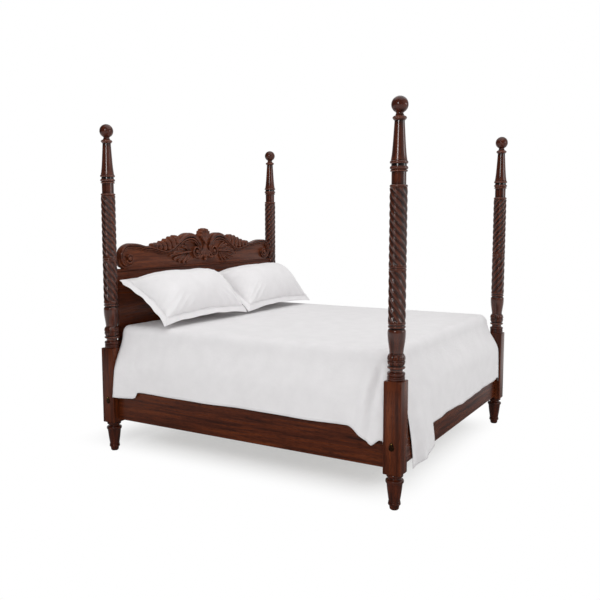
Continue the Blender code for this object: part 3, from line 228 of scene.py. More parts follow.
def lacqueredMahogany(name, grain="Z", carved=False, tones=("#2f130a", "#522411", "#70371b"),
                      coat=0.20, film=0.19):
    # mahogany, stained red-brown and lacquered to a satin gloss: long dark and light streaks, short
    # open pores, and a clear film over all; carved pieces also get dark glaze with painted shade in
    # their hollows and a painted highlight on their tops
    # the first colour is a dark glaze that also paints shade into carved hollows; the second is a
    # painted highlight for carved tops
    look = {"glazeAndShade": "#0d0503", "ridgeHighlight": "#96583f", "figureMm": 24.0, "figureShare": 0.05,
            "poreMm": 1.6, "poreShare": 0.035, "roughness": 0.27}        # shares: width to length
    material, tree, place = newMaterial(name)
    figureAt = addNode(tree, "Mapping", {"Scale": alongGrain(grain, look["figureShare"])},
                       {"Vector": place})
    poreAt = addNode(tree, "Mapping", {"Scale": alongGrain(grain, look["poreShare"])},
                     {"Vector": place})
    figure = addNode(tree, "TexNoise", {"Scale": 1000 / look["figureMm"], "Detail": 5.0,
                                        "Roughness": 0.62, "Distortion": 0.5}, {"Vector": figureAt})
    pores = addNode(tree, "TexNoise", {"Scale": 1000 / look["poreMm"], "Detail": 2.0,
                                       "Roughness": 0.5}, {"Vector": poreAt})
    stain = addNode(tree, "ValToRGB", None, {"Fac": figure}, zip((0.30, 0.50, 0.74), tones))
    poreDark = addNode(tree, "ValToRGB", None, {"Fac": pores},
                       [(0.34, "#8c8c8c"), (0.50, "#ffffff")])
    # a colour Mix node takes its colours at sockets 6 and 7 and gives the result at 2
    shown = addNode(tree, "Mix", {"Factor": 0.75}, {6: stain, 7: poreDark},
                    data_type="RGBA", blend_type="MULTIPLY").outputs[2]
    if carved:        # dark glaze with painted shade in the hollows, and a painted highlight on the tops
        relief = addNode(tree, "NewGeometry").outputs["Pointiness"]
        # painted shade: the hollows of the carving are darkened as well as glazed
        hollow = addNode(tree, "MapRange", {"From Min": 0.455, "From Max": 0.505, "To Min": 0.0,
                                            "To Max": 1.0}, {"Value": relief})
        shown = addNode(tree, "Mix", {6: toLinear(look["glazeAndShade"])}, {"Factor": hollow, 7: shown},
                        data_type="RGBA").outputs[2]
        # painted highlight: the tops of the carving are painted lighter
        ridge = addNode(tree, "MapRange", {"From Min": 0.512, "From Max": 0.575, "To Min": 0.0,
                                           "To Max": 0.38}, {"Value": relief})
        shown = addNode(tree, "Mix", {7: toLinear(look["ridgeHighlight"])}, {"Factor": ridge, 6: shown},
                        data_type="RGBA").outputs[2]
    rough = addNode(tree, "MapRange", {"From Min": 0.3, "From Max": 0.7,
                                       "To Min": look["roughness"] + 0.08,
                                       "To Max": look["roughness"] - 0.04}, {"Value": figure})
    bump = addNode(tree, "Bump", {"Strength": 0.10, "Distance": 0.0004}, {"Height": pores})
    return finishSurface(material, {"Coat Weight": coat, "Coat Roughness": film, "Coat IOR": 1.5,
                                    "IOR": 1.45, "Specular IOR Level": 0.12},
                         {"Base Color": shown, "Roughness": rough, "Normal": bump})


def planedPoplar(name, grain):
    # poplar, planed and left bare: pale, greenish streaks, no gloss
    material, tree, place = newMaterial(name)
    at = addNode(tree, "Mapping", {"Scale": alongGrain(grain, 0.04)}, {"Vector": place})
    figure = addNode(tree, "TexNoise", {"Scale": 1000 / 14.0, "Detail": 4.0, "Roughness": 0.6},
                     {"Vector": at})        # 14 mm streaks
    colour = addNode(tree, "ValToRGB", None, {"Fac": figure},
                     [(0.30, "#9a8457"), (0.55, "#bda276"), (0.75, "#cfb58a")])
    bump = addNode(tree, "Bump", {"Strength": 0.25, "Distance": 0.0004}, {"Height": figure})
    return finishSurface(material, {"Roughness": 0.62, "IOR": 1.45},
                         {"Base Color": colour, "Normal": bump})


def zincPlatedSteel(name):
    # pressed steel with bright zinc: faintly mottled with a 4 mm spangle, blurred reflections
    material, tree, place = newMaterial(name)
    colour = mottled(tree, place, 4.0, 3.0, [(0.35, "#a9aaa8"), (0.65, "#c6c7c4")])[0]
    return finishSurface(material, {"Metallic": 1.0, "Roughness": 0.34}, {"Base Color": colour})


def patinatedMetal(name, high, low, roughness):
    # cast bronze or brass with a brown patina in 6 mm blotches, rubbed brighter in places
    material, tree, place = newMaterial(name)
    colour = mottled(tree, place, 6.0, 4.0, [(0.35, low), (0.65, high)])[0]
    return finishSurface(material, {"Metallic": 1.0, "Roughness": roughness},
                         {"Base Color": colour})


def mouldedNylon(name):
    # nylon, moulded with a fine matt grain of 0.8 mm
    material, tree, place = newMaterial(name)
    colour, grainy = mottled(tree, place, 0.8, 2.0, [(0.4, "#2b2723"), (0.6, "#37322d")])
    bump = addNode(tree, "Bump", {"Strength": 0.2, "Distance": 0.0002}, {"Height": grainy})
    return finishSurface(material, {"Roughness": 0.5}, {"Base Color": colour, "Normal": bump})


def wovenCotton(name, colours, weaveMm, figureMm, figureDepth):
    # white cotton cloth, matt with a soft sheen and slightly uneven over 90 mm: a woven ground,
    # coarser than the real one so that it shows, and a raised figure
    material, tree, place = newMaterial(name)
    colour = mottled(tree, place, 90.0, 3.0, zip((0.25, 0.75), colours))[0]
    figure = addNode(tree, "TexVoronoi", {"Scale": 1000 / figureMm, "Smoothness": 0.6},
                     {"Vector": place}, feature="SMOOTH_F1")
    weave = addNode(tree, "TexNoise", {"Scale": 1000 / weaveMm, "Detail": 1.0}, {"Vector": place})
    raised = addNode(tree, "Bump", {"Strength": 0.5, "Distance": figureDepth}, {"Height": figure})
    ground = addNode(tree, "Bump", {"Strength": 0.35, "Distance": weaveMm / 4000},
                     {"Height": weave, "Normal": raised})
    return finishSurface(material, {"Roughness": 0.88, "Sheen Weight": 0.25,
                                    "Sheen Roughness": 0.4, "Specular IOR Level": 0.25},
                         {"Base Color": colour, "Normal": ground})


def stripedTicking(name):
    # cotton ticking, ecru with slanting grey stripes, one about every 280 mm, and a 1.2 mm
    # weave; both are coarser than real ones, so that they show
    material, tree, place = newMaterial(name)
    stripe = addNode(tree, "TexWave", {"Scale": 19 / 12, "Distortion": 0.0}, {"Vector": place},
                     bands_direction="DIAGONAL")
    colour = addNode(tree, "ValToRGB", None, {"Fac": stripe.outputs["Fac"]},
                     [(0.80, "#dcdad3"), (0.86, "#a9aca9")])
    weave = addNode(tree, "TexNoise", {"Scale": 1000 / 1.2, "Detail": 1.0}, {"Vector": place})
    bump = addNode(tree, "Bump", {"Strength": 0.3, "Distance": 0.0004}, {"Height": weave})
    return finishSurface(material, {"Roughness": 0.9, "Sheen Weight": 0.2},
                         {"Base Color": colour, "Normal": bump})


uprightMahogany = lacqueredMahogany("mahogany_upright")
turnedUpright = lacqueredMahogany("mahogany_turned_upright", coat=0.60, film=0.13,
                                  tones=("#280f07", "#461c0e", "#602b16"))
carvedUpright = lacqueredMahogany("mahogany_carved_upright", carved=True, coat=0.85, film=0.12,
                                  tones=("#280f07", "#4a1f10", "#662f19"))
crossMahogany = lacqueredMahogany("mahogany_cross", "X")
carvedCross = lacqueredMahogany("mahogany_carved_cross", "X", carved=True, coat=0.38,
                                tones=("#2f1209", "#552714", "#733b20"))
# the crest board's mahogany is painted lighter than the rest, standing in for more light on its
# front face
crestMahoganyPaintedLighter = lacqueredMahogany("mahogany_crest_painted_lighter", "X", tones=("#451e10", "#6b3721", "#884a2d"))
lengthMahogany = lacqueredMahogany("mahogany_length", "Y")
crossPoplar = planedPoplar("poplar_cross", "X")
lengthPoplar = planedPoplar("poplar_length", "Y")
uprightPoplar = planedPoplar("poplar_upright", "Z")
zincSteel = zincPlatedSteel("zinc_plated_steel")
bronze = patinatedMetal("dark_bronze", "#4a3322", "#1d130d", 0.38)
brass = patinatedMetal("rubbed_brass", "#d2aa63", "#8d6a35", 0.28)
nylon = mouldedNylon("moulded_nylon")
matelasse = wovenCotton("matelasse_cotton", ("#e9e7e8", "#efedee"), 1.4, 15.0, 0.0016)
percale = wovenCotton("percale_cotton", ("#ebe9ea", "#f1eff0"), 1.0, 9.0, 0.0004)
damask = wovenCotton("damask_ticking", ("#dedbd4", "#e8e6e0"), 1.2, 26.0, 0.0014)
ticking = stripedTicking("striped_ticking")
print("materials made")


finishes = {"side_rail": lengthMahogany, "foot_rail": crossMahogany,
            "headboard": crossMahogany, "slat_cleat": lengthPoplar, "slat_leg": uprightPoplar,
            "slat": crossPoplar, "glide": nylon, "post_plate": zincSteel,
            "rail_hook": zincSteel, "bed_bolt": zincSteel}        # the longer name stands first
for nodeName, node in nodes.items():
    for start, finish in finishes.items():
        if nodeName.startswith(start):
            node.data.materials.clear()
            node.data.materials.append(finish)
            break
print("boards and fittings finished")


postShape = {"stepsRound": 112, "neck": 0.0360, "ring": 0.0497, "groove": 0.0440,
             "vaseLow": 0.0385, "vaseTop": 0.0500, "cylinder": 0.0395, "topRing": 0.0492,
             "spireLow": 0.0405, "spireTop": 0.0272, "collar": 0.0382,
             "boreRadius": 0.0083, "boreDepth": 0.0405}
ropeShape = {"strands": 7, "radius": 0.0484, "depth": 0.0082, "step": 0.005, "fade": 0.007,
             "leads": {"ropeLow": 0.371, "ropeHigh": 0.315}}        # one turn's height
lotusShape = {"petals": 10, "root": 0.0345, "swell": 0.0120, "upper": 0.0042, "lower": 0.0036,
              "middle": 0.46, "bandUp": 0.06, "bandDown": 0.10}
carvedRuns = {"lotus": (0.030, 0.097), "ropeLow": (0.268, 0.547), "ropeHigh": (0.574, 0.989)}


def strandHeight(share):
    # across one strand: a broad round lobe, then a thin fillet in the hollow
    share %= 1.0
    if share < 0.76:
        return math.sin(math.pi * share / 0.76) ** 0.62
    if 0.79 < share < 0.97:
        return 0.50 * math.sin(math.pi * (share - 0.79) / 0.18)
    return 0.0


def petalHeight(angle, rise, petals):
    # rise from 0 at the band's middle to 1 at the petals' tips; two staggered rows
    height = 0.0
    for shift, tip, lift in ((0.5, 1.0, 0.55), (0.0, 0.80, 1.0)):
        share = (angle / (2 * math.pi) * petals + shift) % 1.0 - 0.5
        reach = 1 - (rise / tip) ** 2.2 if rise < tip else -1.0
        inside = reach - (share / 0.5) ** 2
        if inside > 0:
            vein = 1 - 0.35 * math.exp(-(share / 0.07) ** 2)
            height = max(height, lift * min(1.0, inside * 3.0) ** 0.5 * vein)
    return height


def shaftOutline(base):
    # the outline from the bottom up; runs and beads are heights above the shaft's foot
    shape, rope = postShape, ropeShape["radius"]

    def beads(root, radius, *spans, count=8):
        return [point for low, high in spans
                for point in beadPoints(base + low, base + high, root, radius, count)]

    def run(low, high, steps, width):        # rings at even heights, as wide as width(share)
        low, high = base + low, base + high
        return [(width(step / steps), low + (high - low) * (step / steps))
                for step in range(steps + 1)]

    def bulb(share):
        return lotusShape["root"] + lotusShape["swell"] * math.sin(
            math.pi * (0.10 + 0.86 * share)) ** 0.62

    def vase(share):        # fullest near its top
        full = easeIn(share, 0.0, 0.78) ** 0.8
        drop = 1 - 0.16 * max(0.0, (share - 0.86) / 0.14) ** 2.4
        return (shape["vaseLow"] + (shape["vaseTop"] - shape["vaseLow"]) * full) * drop

    def spire(share):        # flaring a little at its foot
        return (shape["spireLow"] + (shape["spireTop"] - shape["spireLow"]) * share ** 0.9
                + 0.0035 * (1 - share) ** 6)

    def roped(key):
        low, high = (base + height for height in carvedRuns[key])
        return taperPoints(low, high, rope, rope, round((high - low) / ropeShape["step"]))

    rings = [(0.0, base + seatGap)]
    rings += taperPoints(base + seatGap, base + 0.012, shape["neck"], shape["neck"] + 0.001, 2)
    rings += beads(0.0405, shape["ring"], (0.013, 0.027))
    rings += run(*carvedRuns["lotus"], 33, bulb)
    rings += run(0.098, 0.233, 23, vase)
    rings += beads(shape["groove"], rope, (0.237, 0.250), (0.254, 0.267))
    rings += roped("ropeLow")
    rings += beads(shape["groove"], rope, (0.548, 0.560), (0.561, 0.573))
    rings += roped("ropeHigh")
    rings += beads(shape["cylinder"], 0.0486, (0.990, 1.006))
    rings += taperPoints(base + 1.007, base + 1.071, shape["cylinder"], shape["cylinder"], 3)
    rings += beads(shape["cylinder"], 0.0468, (1.072, 1.083), count=6)
    rings += beads(0.0420, shape["topRing"], (1.085, 1.102))
    rings += beads(0.0410, shape["topRing"], (1.114, 1.131))
    rings += run(1.133, 1.339, 15, spire)
    top = base + 1.367
    rings += [(0.0290, top - 0.0270), (0.0350, top - 0.0200), (shape["collar"], top - 0.0150),
              (shape["collar"], top - 0.0115), (0.0345, top - 0.0065), (0.0270, top - 0.0020),
              (0.0235, top), (shape["boreRadius"], top),
              (shape["boreRadius"], top - shape["boreDepth"]), (0.0, top - shape["boreDepth"])]
    return rings


def lotusCut(angle, share):
    # what the carving adds at a share of the bulb's height
    shape = lotusShape
    above = share - shape["middle"] - shape["bandUp"]
    below = shape["middle"] - shape["bandDown"] - share
    if above > 0:
        return shape["upper"] * petalHeight(angle, above / 0.48, shape["petals"])
    if below > 0:
        return shape["lower"] * petalHeight(angle, below / 0.36 * 0.9, shape["petals"])
    wave = math.cos(2 * math.pi * (share - shape["middle"] + 0.02) / 0.055)
    return shape["lower"] * (0.45 + 0.55 * wave)        # the reeded band between the petals


def carveShaft(bm, base, hand):
    for vert in bm.verts:
        radius = math.hypot(vert.co.x, vert.co.y)
        if radius < 0.02:        # the bore and the middles
            continue
        angle, z = math.atan2(vert.co.y, vert.co.x), vert.co.z
        cut = 0.0
        for key, (low, high) in carvedRuns.items():
            low, high = base + low, base + high
            if not low < z < high:
                continue
            if key == "lotus":
                cut = lotusCut(angle, (z - low) / (high - low))
                continue
            turn = angle / (2 * math.pi) - hand * (z - low) / ropeShape["leads"][key]
            fade = easeIn(min(z - low, high - z), 0.0, ropeShape["fade"])
            cut = -ropeShape["depth"] * (1 - strandHeight(turn * ropeShape["strands"])) * fade
        scale = (radius + cut) / radius
        vert.co.x *= scale
        vert.co.y *= scale


finialShape = {"ball": 0.0455, "seat": 0.0205, "neck": 0.0195, "neckHeight": 0.014,
               "spigot": 0.0080, "rings": 26, "stepsRound": 64}


def finialOutline(bottom, spigotBottom):
    shape = finialShape
    outline = [(0.0, spigotBottom), (shape["spigot"], spigotBottom), (shape["spigot"], bottom),
               (0.0235, bottom), (0.0225, bottom + 0.003), (shape["neck"], bottom + 0.008)]
    start = math.asin(shape["seat"] / shape["ball"])
    middle = bottom + shape["neckHeight"] + shape["ball"] * math.cos(start)
    for ring in range(shape["rings"]):
        angle = start + (math.pi - start) * ring / shape["rings"]
        outline.append((shape["ball"] * math.sin(angle), middle - shape["ball"] * math.cos(angle)))
    outline.append((0.0, middle + shape["ball"]))
    return outline


def footOutline(low, top):
    # toe, ring, taper, collar and neck of the turned foot
    outline = [(0.0, low), (0.0255, low)]
    outline += taperPoints(low + 0.001, low + 0.022, 0.0262, 0.0290, 3)
    outline += beadPoints(low + 0.023, low + 0.036, 0.0310, 0.0358)
    outline += beadPoints(low + 0.037, low + 0.045, 0.0310, 0.0345, 5)
    outline += taperPoints(low + 0.046, top - 0.054, 0.0318, 0.0452, 10, 0.0010)
    outline += beadPoints(top - 0.053, top - 0.034, 0.0462, 0.0515)
    outline += [(0.0425, top - 0.0325), (0.0362, top - 0.0295), (0.0345, top - 0.0250),
                (0.0362, top - 0.0205)]
    outline += beadPoints(top - 0.0185, top - seatGap, 0.0390, 0.0478)
    outline.append((0.0, top - seatGap))
    return outline


def collarOutline(low, top):
    # three reeds on top of the block, and the neck that the shaft stands on
    outline = [(0.0, low + seatGap), (0.0465, low + seatGap)]
    outline += [(0.0482, low + 0.003), (0.0487, low + 0.008), (0.0487, low + 0.013)]
    outline += beadPoints(low + 0.0145, low + 0.024, 0.0462, 0.0490, 6)
    outline += beadPoints(low + 0.0260, low + 0.0460, 0.0440, 0.0500)
    outline += [(0.0385, low + 0.048), (0.0362, low + 0.050), (0.0362, top), (0.0, top)]
    return outline


def applied(piece):
    # the mesh that a piece's modifiers make
    bpy.context.view_layer.update()
    shape = piece.evaluated_get(bpy.context.evaluated_depsgraph_get())
    mesh = bpy.data.meshes.new_from_object(shape)
    bpy.data.objects.remove(piece, do_unlink=True)
    return mesh


def boxMesh(low, high, edge=0.0):
    low, high = Vector(low), Vector(high)
    bm = bmesh.new()
    bmesh.ops.create_cube(bm, size=1.0)
    bmesh.ops.scale(bm, vec=high - low, verts=bm.verts)
    bmesh.ops.translate(bm, vec=(low + high) / 2, verts=bm.verts)
    if edge:
        roundEdges(bm, bm.edges[:], edge)
    return bm


def cutOut(target, cutters):
    for cutter in cutters:
        boolean = target.modifiers.new(cutter.name, "BOOLEAN")
        boolean.operation = "DIFFERENCE"
        boolean.solver = "EXACT"
        boolean.object = cutter
    mesh = applied(target)
    for cutter in cutters:
        bpy.data.objects.remove(cutter, do_unlink=True)
    return mesh


blockShape = {"edge": 0.0045, "boltZ": 0.360, "counterbore": 0.0120, "counterDepth": 0.0093,
              "bore": 0.0043, "boreDepth": 0.11, "footTop": 0.207, "blockTop": 0.730}


def postBlock(corner, hand, x, y, half):
    shape = blockShape
    block = addObject("block", boxMesh((x - half, y - half, shape["footTop"]),
                                       (x + half, y + half, shape["blockTop"]), shape["edge"]))
    cutters = []
    over = 0.01        # a cutter starts this far outside the face
    for radius, depth in ((shape["counterbore"], shape["counterDepth"]),
                          (shape["bore"], shape["boreDepth"])):
        at = (x + hand * (half - depth / 2 + over / 2), y, shape["boltZ"])
        cutters.append(addObject("bore", rodAlongX(radius, depth + over, 32, at)))
    low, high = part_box(f"post_plate_{corner}")        # the pocket that the steel plate is let into
    grow = Vector([seatGap] * 3)
    cutters.append(addObject("pocket", boxMesh(low - grow, high + grow)))
    return cutOut(block, cutters)


def buildPost(corner, hand):
    low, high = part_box(f"post_base_{corner}")
    x, y = (low.x + high.x) / 2, (low.y + high.y) / 2
    block = postBlock(corner, hand, x, y, (high.x - low.x) / 2)
    addPiece(f"block_{corner}", block, uprightMahogany, "bed", (f"post_base_{corner}",),
             30.0)
    base, shaftTop = high.z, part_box(f"post_shaft_{corner}")[1].z
    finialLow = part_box(f"finial_{corner}")[0].z
    around = finialShape["stepsRound"]
    for name, outline, steps, finish, body, stands in (
            ("foot_turning", footOutline(low.z, blockShape["footTop"]), around, turnedUpright,
             "bed", ()),
            ("collar_turning", collarOutline(blockShape["blockTop"], base), around, turnedUpright,
             "bed", ()),
            ("shaft", shaftOutline(base), postShape["stepsRound"], carvedUpright,
             "bed", (f"post_shaft_{corner}",)),
            ("ball_finial", finialOutline(shaftTop + seatGap, finialLow), around, turnedUpright,
             f"finial_{corner}", (f"finial_{corner}",))):
        bm = bmesh.new()
        turnRound(bm, outline, steps)
        if name == "shaft":
            carveShaft(bm, base, hand)        # the left and right posts twist opposite ways
        bmesh.ops.translate(bm, verts=bm.verts, vec=(x, y, 0.0))
        addPiece(f"{name}_{corner}", bm, finish, body, stands, 50.0)


for corner, hand in corners:
    buildPost(corner, hand)
print("posts turned and carved")


coverShape = {"radius": 0.0165, "ear": 0.0070, "drop": 0.024, "thickness": 0.003,
              "edge": 0.0011, "pinHead": 0.0042, "pinFlat": 0.45}


def boltCover(corner, hand):
    # a drop-shaped plate that hangs from a pin in its narrow end
    shape = coverShape
    low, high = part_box(f"bolt_cover_{corner}")
    y, outer = (low.y + high.y) / 2, high.x if hand > 0 else low.x
    pivotZ = high.z - shape["ear"]
    inner = outer - hand * shape["thickness"]
    lean = math.acos((shape["radius"] - shape["ear"]) / shape["drop"])
    bm = bmesh.new()
    rim = []
    for z, radius, first, last, count in (
            (pivotZ, shape["ear"], lean, -lean, 13),
            (pivotZ - shape["drop"], shape["radius"], -lean, lean - 2 * math.pi, 31)):
        for step in range(count):
            angle = first + (last - first) * step / (count - 1)
            rim.append(bm.verts.new((inner, y + radius * math.sin(angle),
                                     z + radius * math.cos(angle))))
    front = slab(bm, rim, (hand * shape["thickness"], 0, 0))
    roundEdges(bm, [edge for edge in bm.edges if all(v in front for v in edge.verts)],
               shape["edge"])
    faceOut(bm)
    addPiece(f"cover_{corner}", bm, bronze, f"cover_{corner}", (f"bolt_cover_{corner}",),
             35.0)
    bm = bmesh.new()        # the pin's domed head
    flatBall(bm, shape["pinHead"], 10, (shape["pinFlat"], 1, 1), (outer, y, pivotZ))
    addPiece(f"cover_pin_{corner}", bm, brass, f"cover_{corner}", (), 60.0)


for corner, hand in corners:
    boltCover(corner, hand)
print("bolt covers made")


crestShape = {"sink": 0.004, "deep": 0.030, "boardEdge": 0.004, "bead": 0.0042,
              "endEye": (0.8607, 1.3403), "innerEye": (0.1120, 1.3670),
              "endBoss": 0.0165, "innerBoss": 0.0160, "perSpan": 9}
crestLow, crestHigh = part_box("crest_board")
crestFace, crestFoot = crestLow.y, crestLow.z
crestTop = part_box("crest_shell")[1].z
halfCrest = crestHigh.x

crestEdge = [(0.0, 1.500), (0.050, 1.499), (0.073, 1.492), (0.105, 1.503), (0.145, 1.513),
             (0.190, 1.516), (0.235, 1.511), (0.280, 1.493), (0.316, 1.468), (0.345, 1.474),
             (0.375, 1.481), (0.420, 1.475), (0.480, 1.458), (0.550, 1.438), (0.600, 1.428),
             (0.640, 1.424), (0.690, 1.427), (0.750, 1.440), (0.800, 1.4465), (0.845, 1.446),
             (0.890, 1.4330), (0.925, 1.409), (0.946, 1.375), (0.9515, 1.340), (0.946, 1.308),
             (0.928, 1.284), (0.905, 1.2735)]
scrollRun = [(0.800, 1.4255, 0.0210, 0.017, 0.003), (0.750, 1.4195, 0.0205, 0.017, 0.003),
             (0.690, 1.4070, 0.0198, 0.017, 0.003), (0.630, 1.4030, 0.0195, 0.017, 0.003),
             (0.570, 1.3900, 0.0190, 0.017, 0.003), (0.520, 1.3770, 0.0180, 0.017, 0.003),
             (0.465, 1.3705, 0.0175, 0.017, 0.003), (0.420, 1.3765, 0.0180, 0.017, 0.003),
             (0.375, 1.3940, 0.0195, 0.018, 0.003), (0.330, 1.4210, 0.0225, 0.019, 0.003),
             (0.290, 1.4470, 0.0260, 0.020, 0.004), (0.250, 1.4680, 0.0310, 0.021, 0.004),
             (0.200, 1.4790, 0.0350, 0.022, 0.004), (0.155, 1.4770, 0.0345, 0.022, 0.004),
             (0.118, 1.4610, 0.0310, 0.022, 0.004), (0.090, 1.4350, 0.0265, 0.020, 0.005)]
endTurns = [(-200, 0.0330, 0.0100, 0.006, 0.006), (-120, 0.0415, 0.0110, 0.010, 0.007),
            (-60, 0.0525, 0.0135, 0.015, 0.006), (0, 0.0690, 0.0190, 0.018, 0.004),
            (45, 0.0800, 0.0215, 0.018, 0.003), (90, 0.0850, 0.0213, 0.017, 0.003)]
endSpiral = [(-20, 0.0330, 0.0090, 0.009, 0.012), (-90, 0.0305, 0.0080, 0.010, 0.012),
             (-180, 0.0285, 0.0070, 0.010, 0.012), (-270, 0.0262, 0.0060, 0.009, 0.012),
             (-330, 0.0245, 0.0050, 0.007, 0.012)]
innerTurns = [(108, 0.0715, 0.0265, 0.018, 0.007), (140, 0.0600, 0.0190, 0.016, 0.008),
              (172, 0.0520, 0.0120, 0.012, 0.009), (205, 0.0480, 0.0070, 0.008, 0.010)]
innerSpiral = [(150, 0.0480, 0.0080, 0.010, 0.012), (200, 0.0465, 0.0088, 0.013, 0.012),
               (270, 0.0440, 0.0088, 0.013, 0.013), (360, 0.0400, 0.0082, 0.013, 0.013),
               (450, 0.0350, 0.0076, 0.013, 0.013), (540, 0.0300, 0.0068, 0.012, 0.013),
               (630, 0.0262, 0.0058, 0.011, 0.013), (700, 0.0240, 0.0044, 0.008, 0.013)]


def sweepRelief(bm, path, profile, sink, around, hand):
    # a closed moulding laid on the board; path holds x, z, half width, rise and lift
    last = len(path) - 1
    across = []
    for i in range(last + 1):
        ahead, behind = path[min(i + 1, last)], path[max(i - 1, 0)]
        run = math.hypot(ahead[0] - behind[0], ahead[1] - behind[1]) or 1.0
        across.append(((ahead[1] - behind[1]) / run, -(ahead[0] - behind[0]) / run))

    def place(u, v):
        i, j = round(u * last), round(v * around)
        x, z, half, rise, lift = path[i]
        if j in (0, around):
            share, y = -1.0, crestFace + sink
        elif j == around - 1:
            share, y = 1.0, crestFace + sink
        else:
            share = -math.cos(math.pi * (j - 1) / (around - 3))
            y = crestFace - lift - rise * profile(share)
        return (hand * (x + across[i][0] * half * share), y, z + across[i][1] * half * share)

    patch(bm, last, around, place)


def reeds(share):
    # across the scroll moulding: a broad roll at the outer edge, a groove, then two thin reeds
    rolls = ((0.50, 0.50, 1.0), (-0.26, 0.25, 0.86), (-0.76, 0.23, 0.66))
    return max(lift * math.sqrt(max(0.0, 1 - ((share - middle) / width) ** 2))
               for middle, width, lift in rolls)


def rounded(share):
    return max(0.0, 1 - share * share) ** 0.55


def veined(share):
    return rounded(share) * (1 - 0.42 * math.exp(-(share / 0.26) ** 2))


def lobe(bm, points, half, rise, lift, sink, root, peak, profile=rounded, hand=1):
    # one carved leaf lobe from its root to its rounded tip
    spine = smoothPath(points, 8)
    path = []
    for i, (x, z) in enumerate(spine):
        share = i / (len(spine) - 1)
        if share < peak:
            wide = root + (1 - root) * math.sin(math.pi / 2 * share / peak)
        else:
            wide = math.sqrt(max(0.0, 1 - ((share - peak) / (1 - peak)) ** 2))
        ends = 0.0 if i in (0, len(spine) - 1) else 1.0
        high = (0.45 + 0.55 * math.sin(math.pi / 2 * min(1.0, share / peak))) * wide ** 0.4
        path.append((x, z, half * wide * ends, rise * high * ends, lift))
    sweepRelief(bm, path, profile, sink, 14, hand)


def boss(bm, centre, radius, rise, hand=1):
    flatBall(bm, radius, 12, (1, 0.85, 1), (hand * centre[0], crestFace - rise, centre[1]))


def coil(centre, turns):
    # polar stations (degrees, radius, half width, rise, lift) made x, z stations
    path = []
    for angle, radius, *rest in smoothPath(turns, crestShape["perSpan"]):
        turn = math.radians(angle)
        path.append((centre[0] + radius * math.cos(turn), centre[1] + radius * math.sin(turn),
                     *rest))
    return path


def moulding(bm, stations, profile, around, hand):
    # a moulding whose two ends run out to nothing
    path = [(x, z, half if 0 < i < len(stations) - 1 else 0.0, rise, lift)
            for i, (x, z, half, rise, lift) in enumerate(stations)]
    sweepRelief(bm, path, profile, crestShape["sink"], around, hand)


def crestBoard():
    rim = smoothPath(crestEdge, 5) + [(halfCrest - 0.055, crestFoot)]
    rim += [(-x, z) for x, z in rim[::-1] if x > 0]
    bm = bmesh.new()
    slab(bm, [bm.verts.new((x, crestFace, z)) for x, z in rim],
         (0, crestHigh.y - crestFace, 0))
    roundEdges(bm, [edge for edge in bm.edges
                    if abs(edge.verts[0].co.y - edge.verts[1].co.y) < 1e-5
                    and max(v.co.z for v in edge.verts) > crestFoot + 0.001],
               crestShape["boardEdge"])
    faceOut(bm)
    addPiece("crest_panel", bm, crestMahoganyPaintedLighter, "bed", ("crest_board",), 35.0)
    bead = crestShape["bead"]        # the thin bead along the board's foot
    bm = rodAlongX(bead, 2 * (halfCrest - 0.058), 16, (0, crestFace, crestFoot + bead + 0.0004))
    addPiece("crest_bead", bm, crossMahogany, "bed", (), 50.0)


def crestScroll(side, hand):
    shape = crestShape
    bm = bmesh.new()
    moulding(bm, coil(shape["endEye"], endTurns) + smoothPath(scrollRun, 7)[1:]
             + coil(shape["innerEye"], innerTurns)[1:], reeds, 40, hand)
    for eye, turns in ((shape["endEye"], endSpiral), (shape["innerEye"], innerSpiral)):
        moulding(bm, coil(eye, turns), rounded, 14, hand)
    closeUp(bm)
    boss(bm, shape["endEye"], shape["endBoss"], 0.016, hand)
    boss(bm, shape["innerEye"], shape["innerBoss"], 0.018, hand)
    addPiece(f"scroll_moulding_{side}", bm, carvedCross, "bed", (f"crest_scroll_{side}",),
             60.0)


gadroonRoots = [(0.334, 1.4340), (0.380, 1.4060), (0.428, 1.3900), (0.478, 1.3880),
                (0.528, 1.3960), (0.576, 1.4060)]
gadroonTips = [(0.376, 1.4895), (0.424, 1.4840), (0.474, 1.4690), (0.524, 1.4520),
               (0.572, 1.4380), (0.614, 1.4300)]
leafTips = [((0.212, 1.408), (0.250, 1.431), 0.0150), ((0.240, 1.402), (0.296, 1.418), 0.0160),
            ((0.272, 1.388), (0.345, 1.394), 0.0165), ((0.300, 1.374), (0.396, 1.366), 0.0165),
            ((0.330, 1.354), (0.436, 1.343), 0.0150), ((0.300, 1.340), (0.388, 1.317), 0.0170),
            ((0.262, 1.334), (0.334, 1.299), 0.0170), ((0.228, 1.330), (0.282, 1.288), 0.0160),
            ((0.202, 1.326), (0.234, 1.289), 0.0140)]


